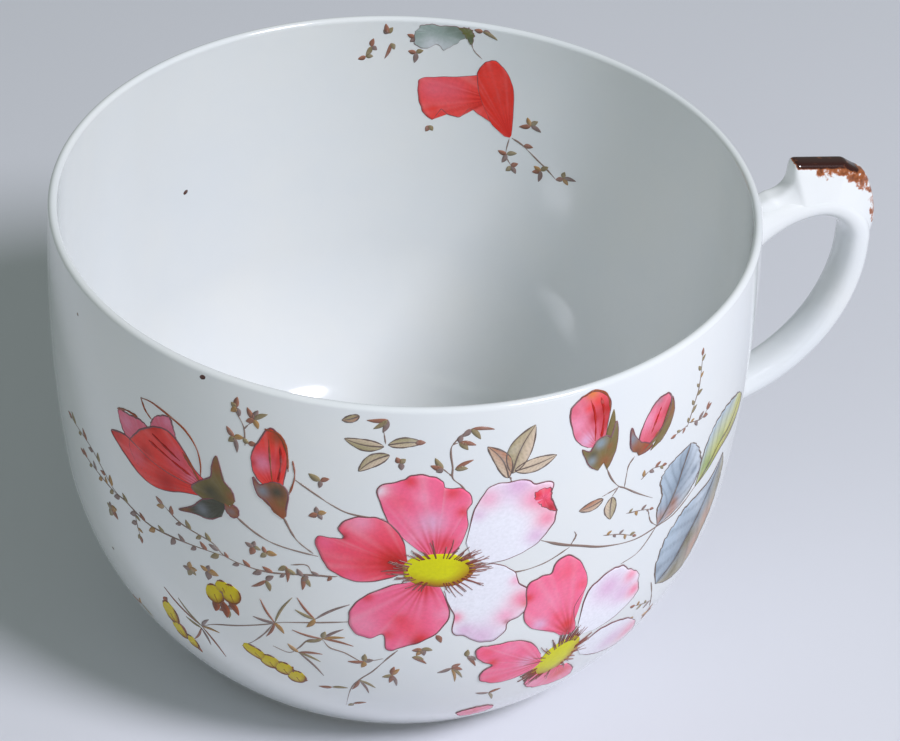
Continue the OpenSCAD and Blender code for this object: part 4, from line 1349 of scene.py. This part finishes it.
def twig(points, width):
    """One stem: a smooth stroke through its points, thinning towards its end."""
    path = flow(points, 9 * len(points))
    thin = np.linspace(1.0, 0.55, len(path)) * pressed(len(path), width, points[0][0])
    twig_films.append(stroke(path, thin, TWIG_LIFT, TWIG))
    return path


def leaflet(root, turn, long, slim, tone):
    """One tiny leaf on a twig, of a few dozen faces."""
    tip = (root[0] + long * np.cos(turn), root[1] + long * np.sin(turn))
    sprig_films.append(blade(root, tip, slim * long, SPRIG_BOW, tone, tone * 0.8, SPRIG_LIFT))


def tuft(middle, count, reach, slim, start):
    """Leaflets spread all round one place from a starting angle, a little uneven."""
    for k in range(count):
        turn = start + 2 * np.pi * k / count + rng.uniform(-0.25, 0.25)
        leaflet(middle, turn, reach * rng.uniform(0.7, 1.15), slim, SPRIG_TONES[rng.integers(4)])


def star(middle, tips):
    """Slim leaves from one place to each given tip, the longer the slimmer."""
    for k, tip in enumerate(tips):
        half = np.clip(0.62 / np.hypot(tip[0] - middle[0], tip[1] - middle[1]), 0.15, 0.34)
        tone = SPRIG_TONES[k % 4]
        sprig_films.append(blade(middle, tip, half, SPRIG_BOW, tone, tone * 0.75, SPRIG_LIFT, rows=8))


def sprig(points, width, gap, reach):
    """A twig with leaflets on alternate sides, one every gap along it and one at its tip."""
    path = twig(points, width)
    far = np.concatenate([[0], np.cumsum(np.linalg.norm(np.diff(path, axis=0), axis=-1))])
    slope = np.gradient(path, axis=0)
    turns = np.unwrap(np.arctan2(slope[:, 1], slope[:, 0]))
    for k, place in enumerate(np.arange(0.5 * gap, far[-1], gap)):
        root = [np.interp(place, far, path[:, 0]), np.interp(place, far, path[:, 1])]
        side = (0.75 + rng.uniform(-0.2, 0.3)) * (-1) ** k
        turn = np.interp(place, far, turns) + side
        long = reach * rng.uniform(0.7, 1.2)
        leaflet(root, turn, long, SPRIG_SLIM, SPRIG_TONES[rng.integers(4)])
    leaflet(path[-1], turns[-1], reach, SPRIG_SLIM, SPRIG_TONES[0])


for points, width in (
    (((-19.3, -19.0), (-16.4, -20.8), (-13.6, -21.7), (-8.6, -22.1)), 0.36),
    (((-13.1, -16.8), (-11.4, -20.0), (-9.2, -21.8)), 0.34),
    (((-11.6, -11.0), (-9.0, -12.6), (-7.0, -13.8), (-4.8, -14.7), (-0.8, -15.0)), 0.30),
    (((26.6, -11.8), (27.5, -13.7), (28.7, -15.3), (29.8, -16.1), (32.1, -18.0), (35.0, -20.2)), 0.32),
    (((30.8, -11.7), (30.0, -12.7), (29.8, -14.2), (29.7, -15.9)), 0.24),
    (((28.8, -15.5), (26.4, -16.0)), 0.24),
    (((28.8, -15.4), (27.9, -16.6)), 0.24),
    ((
        (18.4, -20.2), (21.2, -21.7), (24.0, -22.9), (27.6, -24.5), (32.8, -25.9), (37.0, -25.9),
        (40.4, -25.8), (44.6, -24.0),
    ), 0.42),
    (((22.6, -22.3), (23.2, -21.0), (22.9, -20.2)), 0.30),
    (((34.6, -22.1), (35.4, -24.2), (37.0, -25.9)), 0.26),
    (((36.8, -25.9), (34.2, -28.6), (31.2, -29.2)), 0.22),
    (((12.0, -22.5), (15.0, -24.5), (19.0, -24.2), (22.5, -22.6)), 0.32),
    (((8.8, -11.6), (7.9, -10.0), (6.8, -8.8), (6.7, -7.2), (6.4, -5.3), (6.5, -4.1), (7.3, -3.7)), 0.34),
    (((6.5, -4.1), (7.4, -2.8), (8.6, -1.9)), 0.22),
    (((6.8, -8.6), (5.6, -7.4)), 0.24),
    (((13.7, -9.4), (14.0, -10.6)), 0.30),
    (((-1.2, -4.0), (-1.6, -1.6)), 0.20),
    ((
        (-4.6, -32.4), (-8.6, -33.4), (-13.0, -34.7), (-15.7, -36.1), (-19.4, -38.0), (-23.3, -39.9),
        (-25.6, -41.7),
    ), 0.28),
    (((-7.9, -36.4), (-9.8, -37.0), (-11.1, -38.9), (-12.5, -40.4), (-14.7, -39.9)), 0.26),
    (((-14.4, -35.4), (-15.7, -37.8), (-17.6, -40.4), (-19.4, -42.2)), 0.24),
    (((-7.9, -36.4), (-7.0, -37.7), (-5.1, -38.3), (-3.2, -39.6), (-2.5, -39.7), (-0.2, -38.8)), 0.24),
    ((
        (1.6, -37.0), (0.5, -38.5), (-0.3, -39.8), (-1.6, -41.9), (-3.1, -43.9), (-4.4, -46.8),
        (-5.3, -52.5),
    ), 0.30),
    (((-6.4, -25.0), (-9.0, -25.2), (-10.0, -23.9), (-12.0, -24.4)), 0.28),
    (((-18.0, -7.9), (-18.2, -5.5), (-18.8, -4.3), (-19.3, -3.5), (-19.3, -2.2)), 0.24),
    (((-18.2, -5.6), (-17.5, -4.6), (-16.2, -3.2)), 0.22),
    (((-18.1, -6.8), (-19.4, -7.2)), 0.20),
    (((38.7, -36.8), (40.4, -40.6), (41.8, -44.0)), 0.26),
):
    twig(points, width)
for points, width, gap, reach in (
    ((
        (-6.2, -24.9), (-10.0, -25.5), (-14.4, -26.5), (-17.4, -26.7), (-20.8, -26.3), (-22.6, -24.9),
        (-27.2, -24.1), (-30.0, -22.6),
    ), 0.30, 1.5, 1.35),
    ((
        (-20.8, -26.3), (-25.0, -26.8), (-29.0, -27.3), (-33.0, -27.6), (-37.0, -26.6), (-39.4, -26.4),
        (-42.4, -24.3), (-45.4, -22.8), (-50.6, -22.5),
    ), 0.30, 1.7, 1.45),
    (((-39.2, -26.7), (-43.0, -26.2), (-47.0, -25.8)), 0.24, 1.3, 1.3),
    (((-35.4, -27.2), (-35.2, -29.0), (-34.8, -30.8)), 0.22, 1.0, 1.2),
    (((40.2, -11.9), (41.4, -8.6), (42.0, -6.6), (42.2, -2.4)), 0.26, 1.2, 1.1),
    (((40.4, -11.4), (43.2, -12.4), (44.6, -11.8)), 0.22, 1.0, 1.1),
    (((40.2, -11.7), (38.0, -11.9)), 0.20, 0.9, 1.0),
    (((32.4, -16.0), (34.0, -15.2), (36.0, -15.6)), 0.18, 1.0, 0.9),
    (((27.4, -22.6), (30.0, -23.6), (32.4, -25.0)), 0.18, 1.1, 0.8),
    (((30.6, -20.5), (33.0, -21.2), (34.8, -21.9)), 0.18, 1.1, 0.8),
    (((41.0, -42.0), (38.6, -41.0), (36.6, -40.0)), 0.22, 1.1, 1.2),
):
    sprig(points, width, gap, reach)
for middle, count, reach, slim in (
    ((-26.2, -31.3), 5, 1.5, 0.30),
    ((-23.4, -30.1), 4, 1.4, 0.30),
    ((-40.8, -30.4), 5, 1.5, 0.30),
    ((-16.8, -23.1), 4, 1.4, 0.28),
    ((-15.2, -23.5), 3, 1.3, 0.28),
    ((-40.4, -48.4), 3, 3.0, 0.08),
    ((-8.6, -10.4), 3, 1.5, 0.26),
    ((-8.8, -15.4), 4, 1.3, 0.30),
    ((42.4, -45.6), 4, 1.5, 0.26),
    ((36.6, -43.2), 3, 1.4, 0.26),
):
    tuft(middle, count, reach, slim, rng.uniform(0, 6))
for middle, tips in (
    ((-14.2, -35.2), ((-16.1, -31.6), (-11.8, -29.9), (-17.2, -35.2), (-13.0, -36.8), (-15.5, -38.3))),
    ((-8.9, -32.9), ((-11.2, -29.7), (-11.5, -31.9), (-4.6, -29.4), (-10.0, -34.6))),
    ((-25.6, -41.7), ((-31.3, -37.6), (-28.9, -38.1), (-24.1, -39.4), (-22.7, -41.3), (-22.9, -47.1))),
    ((-25.8, -42.2), ((-28.1, -46.4), (-28.2, -41.4), (-25.0, -45.6))),
    ((-20.9, -35.4), ((-22.1, -36.4), (-20.7, -37.2), (-19.3, -34.6), (-22.2, -35.2))),
    ((-7.9, -36.2), (
        (-11.9, -35.7), (-10.2, -37.4), (-5.3, -33.9), (-5.1, -35.4), (-4.0, -36.8), (-7.6, -34.8),
    )),
    ((-11.2, -39.9), ((-8.0, -39.3), (-8.3, -41.0), (-8.0, -44.2), (-12.6, -38.6))),
    ((-12.6, -24.8), ((-12.4, -27.4), (-13.6, -25.8))),
    ((-10.5, -25.9), ((-10.5, -28.2), (-9.5, -27.4), (-11.2, -24.8))),
    ((-15.2, -28.1), ((-17.2, -29.9), (-14.7, -29.8), (-14.2, -27.0))),
    ((-7.0, -47.0), ((-8.9, -47.4), (-4.8, -46.6))),
    ((-2.5, -39.7), ((-4.7, -40.0), (-2.5, -38.1), (-1.4, -39.2), (-2.9, -41.0))),
    ((1.1, -42.3), ((1.3, -40.4), (-0.2, -42.9), (1.8, -45.0), (2.0, -40.9), (0.8, -44.2))),
    ((-3.2, -44.1), ((-4.2, -46.8), (-1.0, -45.8), (-1.9, -47.5))),
    ((-4.2, -51.6), ((-2.3, -50.6), (-5.0, -52.6))),
    ((4.6, -36.7), ((3.4, -37.0), (6.0, -37.0), (5.0, -38.0), (4.0, -38.0))),
    ((3.5, -38.3), ((5.4, -39.7), (5.0, -38.8))),
    ((6.3, -34.2), ((7.0, -35.6),)),
    ((10.6, -38.8), ((12.0, -41.1), (10.6, -37.4), (11.9, -39.8))),
    ((8.8, -41.0), ((10.3, -41.6), (10.5, -43.5), (7.0, -41.9), (9.6, -44.4), (9.9, -40.2))),
    ((15.3, -49.3), ((16.9, -48.5), (16.4, -52.0), (13.2, -48.6))),
    ((-19.3, -2.9), ((-19.2, -1.4), (-20.0, -2.4), (-18.8, -4.0), (-20.0, -3.7))),
    ((-17.0, -3.8), ((-17.9, -2.4), (-15.3, -2.6), (-16.5, -2.4), (-16.4, -5.0), (-18.0, -4.4))),
    ((-19.5, -7.2), ((-20.5, -6.0), (-20.2, -8.1), (-19.0, -9.3), (-18.2, -6.9))),
    ((-17.6, -7.5), ((-16.5, -7.3), (-18.3, -6.9))),
    ((7.0, -7.5), ((9.1, -6.3), (8.5, -7.5))),
    ((5.6, -7.4), ((4.1, -6.9), (4.6, -5.8), (4.8, -7.8))),
    ((7.3, -3.7), ((9.3, -4.2), (8.4, -4.8), (7.6, -2.6))),
    ((8.6, -1.9), ((11.4, -2.2), (9.8, -3.4), (7.6, -2.9))),
    ((0.6, -6.6), ((0.1, -5.8), (1.2, -6.0), (0.8, -7.6))),
    ((-1.1, -0.6), ((-3.5, -0.9), (-2.7, -2.0), (-1.6, -2.4))),
    ((2.2, -3.7), ((3.4, -3.6),)),
):
    star(middle, tips)

make_print("twigs", twig_films, LINE_INK, outside)
make_print("sprig_leaves", sprig_films, LINE_INK, outside)


# Small yellow blossoms: thick dabs of yellow enamel in clumps of three and four on the lower
# left, shaded with ochre, lined in brown down one side and held in short rust-coloured sepals.
GOLD = ink(216, 194, 8)
GOLD_DARK = ink(152, 98, 10)
GOLD_LINE = ink(128, 74, 36)
SEPAL_RUST = ink(172, 92, 56)
SEPAL_BROWN = ink(126, 70, 46)
BLOSSOM_RISE = 0.10
BLOSSOM_LINE_LIFT = 0.062
BLOSSOM_VEIN_LIFT = 0.104
SEPAL_LIFT = 0.038
LINED_SIDES = ((-2.7, 0.7), (1.3, 2.4))
RIM_SHARE = 0.97
blossom_films, blossom_lines = [], []
for middle, long, short, tilt in (
    ((-21.3, -31.9), 1.10, 1.10, 0.0),
    ((-22.6, -33.7), 1.35, 1.60, 0.0),
    ((-20.2, -32.6), 1.45, 1.65, 0.0),
    ((-17.5, -42.6), 1.95, 1.10, -0.55),
    ((-15.5, -43.8), 1.45, 1.50, -0.3),
    ((-13.6, -44.6), 1.40, 1.55, -0.3),
    ((-11.9, -46.0), 1.30, 1.60, -0.3),
    ((-31.3, -42.8), 1.30, 2.30, 0.1),
    ((-30.7, -46.3), 1.20, 1.90, 0.1),
    ((-28.9, -47.8), 1.00, 1.60, 0.0),
):
    blossom_films.append(oval_dome(middle, long, short, tilt, BLOSSOM_RISE, middle[0], GOLD, GOLD_DARK))
    for start, end in LINED_SIDES:
        turn = np.linspace(start, end, 30)
        path = on_oval(middle, RIM_SHARE * long, RIM_SHARE * short, tilt, turn)
        blossom_lines.append(stroke(path, pressed(30, 0.26, middle[0]), BLOSSOM_LINE_LIFT, GOLD_LINE))
    vein = flow([middle, (middle[0] + 0.3 * long, middle[1] - 0.75 * short)], 8)
    blossom_lines.append(stroke(vein, np.linspace(0.16, 0.06, 8), BLOSSOM_VEIN_LIFT, GOLD_DARK))
for base, tip, half in (
    ((-22.6, -34.8), (-22.7, -36.9), 0.55),
    ((-21.6, -34.4), (-21.0, -37.3), 0.62),
    ((-20.6, -33.8), (-19.2, -36.0), 0.50),
    ((-12.9, -45.0), (-12.2, -43.6), 0.40),
    ((-11.6, -46.8), (-10.4, -46.4), 0.36),
    ((-28.8, -48.6), (-28.0, -50.0), 0.45),
    ((-30.4, -44.4), (-29.4, -45.8), 0.42),
    ((-31.9, -40.9), (-31.2, -39.6), 0.36),
):
    blossom_lines.append(blade(
        base, tip, half, 0.06, SEPAL_BROWN, SEPAL_RUST, SEPAL_LIFT, veins=0.15, rows=12, columns=5
    ))
make_print("yellow_blossoms", blossom_films, YELLOW_ENAMEL, outside)
make_print("blossom_lines", blossom_lines, LINE_INK, outside)


# Spray inside the lip: one half-open rose on the far inner wall with a grey-green leaf at the
# rim and short sprigs, so that the drinker sees a flower too.
INSIDE_RADIUS = 43.3
INSIDE_FRONT = np.radians(71.4)
INSIDE_RED = ink(244, 74, 66)
INSIDE_DEEP = ink(232, 54, 42)
INSIDE_PINK = ink(236, 104, 122)
INSIDE_LEAF = ink(150, 166, 160)
INSIDE_LEAF_DARK = ink(96, 108, 90)
INSIDE_OLIVE = ink(108, 110, 62)


def inside(s, t, lift):
    """Places on the inside: s millimetres to the right of the far middle, t along the wall from the lip."""
    radius, height = on_wall(t, -wall_thickness(lean_at(-t)) - lift)
    turn = INSIDE_FRONT - s / INSIDE_RADIUS
    return np.stack([radius * np.cos(turn), radius * np.sin(turn), height], axis=-1)


inner_red, inner_leaf, inner_lines = [], [], []
paint_petal((11.2, -11.6), (
    (10.8, -8.0), (8.4, -8.2), (5.8, -8.8), (2.9, -9.2), (1.0, -9.5), (0.4, -10.6), (0.6, -12.6),
    (1.0, -14.4), (1.6, -15.4), (2.6, -16.2), (3.3, -15.2), (3.9, -14.3), (4.8, -15.1), (6.4, -15.3),
    (7.1, -14.6), (7.9, -13.7), (9.1, -14.4), (11.6, -15.6),
), INSIDE_RED, (
    (2.6, -11.0, 2.4, INSIDE_PINK, 0.85),
    (5.4, -11.0, 2.2, INSIDE_PINK, 0.60),
    (2.7, -14.4, 0.8, INSIDE_DEEP, 0.60),
    (9.4, -12.4, 1.8, INSIDE_DEEP, 0.60),
), inner_red, inner_lines, streak=0.12, rag=0.05, width=0.08)
paint_petal((13.9, -17.2), (
    (13.1, -17.2), (11.2, -15.7), (10.2, -13.8), (9.2, -11.5), (8.7, -9.0), (8.8, -7.1), (10.0, -5.6),
    (11.3, -5.4), (12.9, -7.0), (13.9, -9.5), (14.1, -13.3), (14.1, -16.7),
), INSIDE_DEEP, (
    (11.2, -8.2, 2.2, INSIDE_RED, 0.80),
    (13.0, -13.0, 1.4, INSIDE_RED, 0.60),
), inner_red, inner_lines, streak=0.08, rag=0.04, width=0.08)
paint_petal((3.6, -2.2), (
    (-0.2, -1.9), (0.7, -0.9), (1.8, -0.7), (4.1, -0.7), (6.2, -0.7), (7.2, -0.9), (6.8, -2.2),
    (5.4, -3.4), (4.0, -4.6), (2.8, -3.9), (1.0, -4.7), (-0.3, -3.7), (-0.2, -1.9),
), INSIDE_LEAF, (
    (2.2, -4.2, 1.6, PETAL_WHITE, 0.55),
    (4.6, -4.2, 1.4, PETAL_WHITE, 0.35),
    (4.6, -0.8, 1.2, INSIDE_LEAF_DARK, 0.50),
    (6.4, -1.6, 1.2, INSIDE_LEAF_DARK, 0.60),
), inner_leaf, inner_lines, streak=0.20, rag=0.10, width=0.05)
paint_petal((7.0, -1.5), (
    (5.6, -0.8), (6.7, -0.7), (7.4, -0.8), (7.9, -1.7), (7.6, -3.3), (6.9, -2.4), (6.3, -1.5),
    (5.6, -0.8),
), INSIDE_OLIVE, (
    (7.4, -2.6, 0.6, INSIDE_LEAF_DARK, 0.80),
), inner_leaf, inner_lines, streak=0.10, rag=0.08, width=0.06)
twig_films, sprig_films = [], []
for points, width in (
    (((14.2, -17.2), (15.9, -18.0), (18.1, -19.6), (19.9, -20.8), (21.5, -22.0)), 0.38),
    (((13.8, -17.4), (13.5, -19.4), (13.7, -20.6), (14.5, -21.8)), 0.22),
    (((7.5, -2.8), (8.0, -4.2), (9.2, -5.4)), 0.20),
):
    twig(points, width)
for middle, tips in (
    ((16.8, -14.5), ((15.1, -15.1), (17.8, -13.5), (18.4, -15.1), (16.2, -13.3))),
    ((13.6, -20.0), ((12.3, -19.7), (15.1, -19.5), (13.0, -21.5))),
    ((14.4, -21.8), ((15.4, -21.1), (13.7, -22.7), (15.2, -22.8))),
    ((18.9, -21.2), ((17.6, -21.8), (20.0, -20.3), (18.7, -23.1), (17.8, -20.8))),
    ((22.4, -21.3), ((21.3, -21.9), (22.6, -20.2), (24.5, -21.0), (23.3, -22.1))),
    ((16.0, -18.0), ((17.4, -17.9),)),
    ((9.1, -0.9), ((7.9, -0.8), (11.2, -1.9), (10.2, -1.0))),
    ((-3.9, -2.4), ((-4.3, -0.8), (-3.3, -1.4), (-4.6, -1.8))),
    ((-0.1, -2.9), ((-1.3, -2.5), (0.2, -4.0), (-0.9, -3.7))),
    ((0.0, -5.4), ((-1.1, -5.2), (1.0, -5.0), (-0.2, -7.1))),
    ((-6.2, -4.5), ((-5.9, -3.2), (-6.9, -6.1), (-5.4, -5.1))),
    ((-6.9, -6.1), ((-8.0, -6.5), (-5.9, -6.1))),
    ((-3.5, -4.0), ((-4.3, -6.5), (-3.0, -5.0))),
    ((2.2, -17.2), ((1.8, -18.2), (2.8, -18.0))),
):
    star(middle, tips)
make_print("inner_rose", inner_red, PETAL_ENAMEL, inside)
make_print("inner_leaf", inner_leaf, LEAF_WASH, inside)
make_print("inner_outlines", inner_lines, LINE_INK, inside)
make_print("inner_twigs", twig_films, LINE_INK, inside)
make_print("inner_sprigs", sprig_films, LINE_INK, inside)


# Small spray on the far side: the half-open bud and three beige leaves cut from the same printed
# sheet and laid on a short twig, so that the back of the cup is not bare.
BUD_SHIFT = (168.6, -12.6)
LEAF_SHIFT = (147.2, -22.0)
LEAF_FROM, LEAF_TO = 4, 7
LINES_PER_LEAF = 3


def moved(films, shift):
    """The same films, shifted to the right and up on the sheet."""
    return [(s + shift[0], t + shift[1], lift, colour) for s, t, lift, colour in films]


twig_films, sprig_films = [], []
for points, width in (
    (((149.4, -31.6), (153.0, -33.6), (157.0, -36.8), (160.0, -41.0)), 0.36),
    (((157.0, -36.8), (158.6, -33.6), (161.2, -31.4)), 0.26),
):
    twig(points, width)
for points, width, gap, reach in (
    (((153.0, -33.6), (149.4, -37.0), (145.6, -38.6), (141.0, -38.4)), 0.26, 1.6, 1.4),
    (((158.8, -39.2), (163.0, -40.2), (167.4, -39.2)), 0.24, 1.5, 1.3),
    (((160.0, -41.0), (161.4, -44.0), (161.0, -47.4)), 0.24, 1.5, 1.3),
):
    sprig(points, width, gap, reach)
# The half-open bud comes first in each list: four petals and three sepals, and among the lines
# those of seven petals, then of seven sepals, then the strokes.
make_print("back_bud", moved(bud_films[:4], BUD_SHIFT), PETAL_ENAMEL, outside)
make_print("back_calyx", moved(calyx_films[:3], BUD_SHIFT), PETAL_ENAMEL, outside)
make_print("back_leaf", moved(leaf_films[LEAF_FROM:LEAF_TO], LEAF_SHIFT), LEAF_WASH, outside)
back_lines = moved(bud_lines[:4] + bud_lines[7:10] + bud_lines[14:18], BUD_SHIFT)
back_lines += moved(leaf_lines[LINES_PER_LEAF * LEAF_FROM:LINES_PER_LEAF * LEAF_TO], LEAF_SHIFT)
make_print("back_outlines", back_lines, LINE_INK, outside)
make_print("back_twigs", twig_films, LINE_INK, outside)
make_print("back_sprigs", sprig_films, LINE_INK, outside)


# Kiln specks: two grains of iron that burnt through the glaze in the firing, one inside the cup
# and one outside just under the lip. Each is a small dark dome.
SPECK_BROWN = ink(92, 60, 52)
for name, at, place in (
    ("inner_speck", (-34.5, -21.8), inside),
    ("lip_speck", (-24.0, -0.5), outside),
):
    grain = oval_dome(
        at, long=0.42, short=0.30, tilt=0.5, rise=0.03, seed=1.0, light=SPECK_BROWN, dark=SPECK_BROWN * 0.5
    )
    make_print(name, [grain], LINE_INK, place)


# Stage: a plain pale floor under the cup, a soft lamp high at the right front, a weaker and
# wider one at the left and even light all round. The camera stands where the photograph was taken.
FLOOR_TINT = (0.73, 0.73, 0.78, 1.0)
FLOOR_SHADE = (0.69, 0.695, 0.74, 1.0)
CAMERA_AT = (-92.99, -286.21, 262.58)
CAMERA_TO = (6.33, -2.06, 37.23)
CAMERA_ROLL = np.radians(3.134)
CAMERA_LENS = 113.757
LAMPS = (
    ("key_lamp", (0.340, -0.502, 0.673), 0.24, 6.9, (0.91, 0.91, 1.0)),
    ("fill_lamp", (-0.75, -0.75, 0.60), 0.8, 0.8, (0.93, 1.0, 0.95)),
)
LAMP_AIM = (0, 0, 0.03)
ROOM_TINT = (0.86, 1.0, 0.93, 1.0)
ROOM_LIGHT = 0.25
FLOOR_HALF = 3

floor_mesh = bpy.data.meshes.new("floor")
corners = [(x * FLOOR_HALF, y * FLOOR_HALF, 0) for x, y in ((-1, -1), (1, -1), (1, 1), (-1, 1))]
floor_mesh.from_pydata(corners, [], [(0, 1, 2, 3)])
floor = bpy.data.objects.new("floor", floor_mesh)
bpy.context.scene.collection.objects.link(floor)
paper, paper_tree, paper_shader = new_material("floor_paper")
paper_place = node(paper_tree, "ShaderNodeTexCoord")
paper_cloud = node(paper_tree, "ShaderNodeTexNoise", in_Scale=5.0, in_Detail=2.0)
paper_tree.links.new(paper_place.outputs["Object"], paper_cloud.inputs["Vector"])
paper_tone = ramp(paper_tree, (0.3, FLOOR_SHADE), (0.7, FLOOR_TINT))
paper_tree.links.new(paper_cloud.outputs["Fac"], paper_tone.inputs["Fac"])
paper_tree.links.new(paper_tone.outputs["Color"], paper_shader.inputs["Base Color"])
paper_shader.inputs["Roughness"].default_value = 0.75
floor_mesh.materials.append(paper)

for name, at, size, power, tint in LAMPS:
    lamp = bpy.data.lights.new(name, "AREA")
    lamp.shape = "DISK"
    lamp.size = size
    lamp.energy = power
    lamp.color = tint
    stand = bpy.data.objects.new(name, lamp)
    stand.location = at
    stand.rotation_euler = (Vector(LAMP_AIM) - Vector(at)).to_track_quat("-Z", "Y").to_euler()
    bpy.context.scene.collection.objects.link(stand)

world = bpy.data.worlds.new("soft_room")
world.use_nodes = True
world.node_tree.nodes["Background"].inputs["Color"].default_value = ROOM_TINT
world.node_tree.nodes["Background"].inputs["Strength"].default_value = ROOM_LIGHT
bpy.context.scene.world = world

ahead = (Vector(CAMERA_TO) - Vector(CAMERA_AT)).normalized()
level = ahead.cross(Vector((0, 0, 1))).normalized()
upright = level.cross(ahead)
lean = Matrix.Rotation(-CAMERA_ROLL, 3, ahead)
right = lean @ level
above = lean @ upright
lens = bpy.data.cameras.new("photograph_camera")
lens.lens = CAMERA_LENS
lens.sensor_width = 36.0
lens.clip_start = 0.01
camera = bpy.data.objects.new("photograph_camera", lens)
camera.matrix_world = Matrix((
    (right.x, above.x, -ahead.x, CAMERA_AT[0] * MM),
    (right.y, above.y, -ahead.y, CAMERA_AT[1] * MM),
    (right.z, above.z, -ahead.z, CAMERA_AT[2] * MM),
    (0, 0, 0, 1),
))
bpy.context.scene.collection.objects.link(camera)
bpy.context.scene.camera = camera
bpy.context.scene.view_settings.view_transform = "Standard"
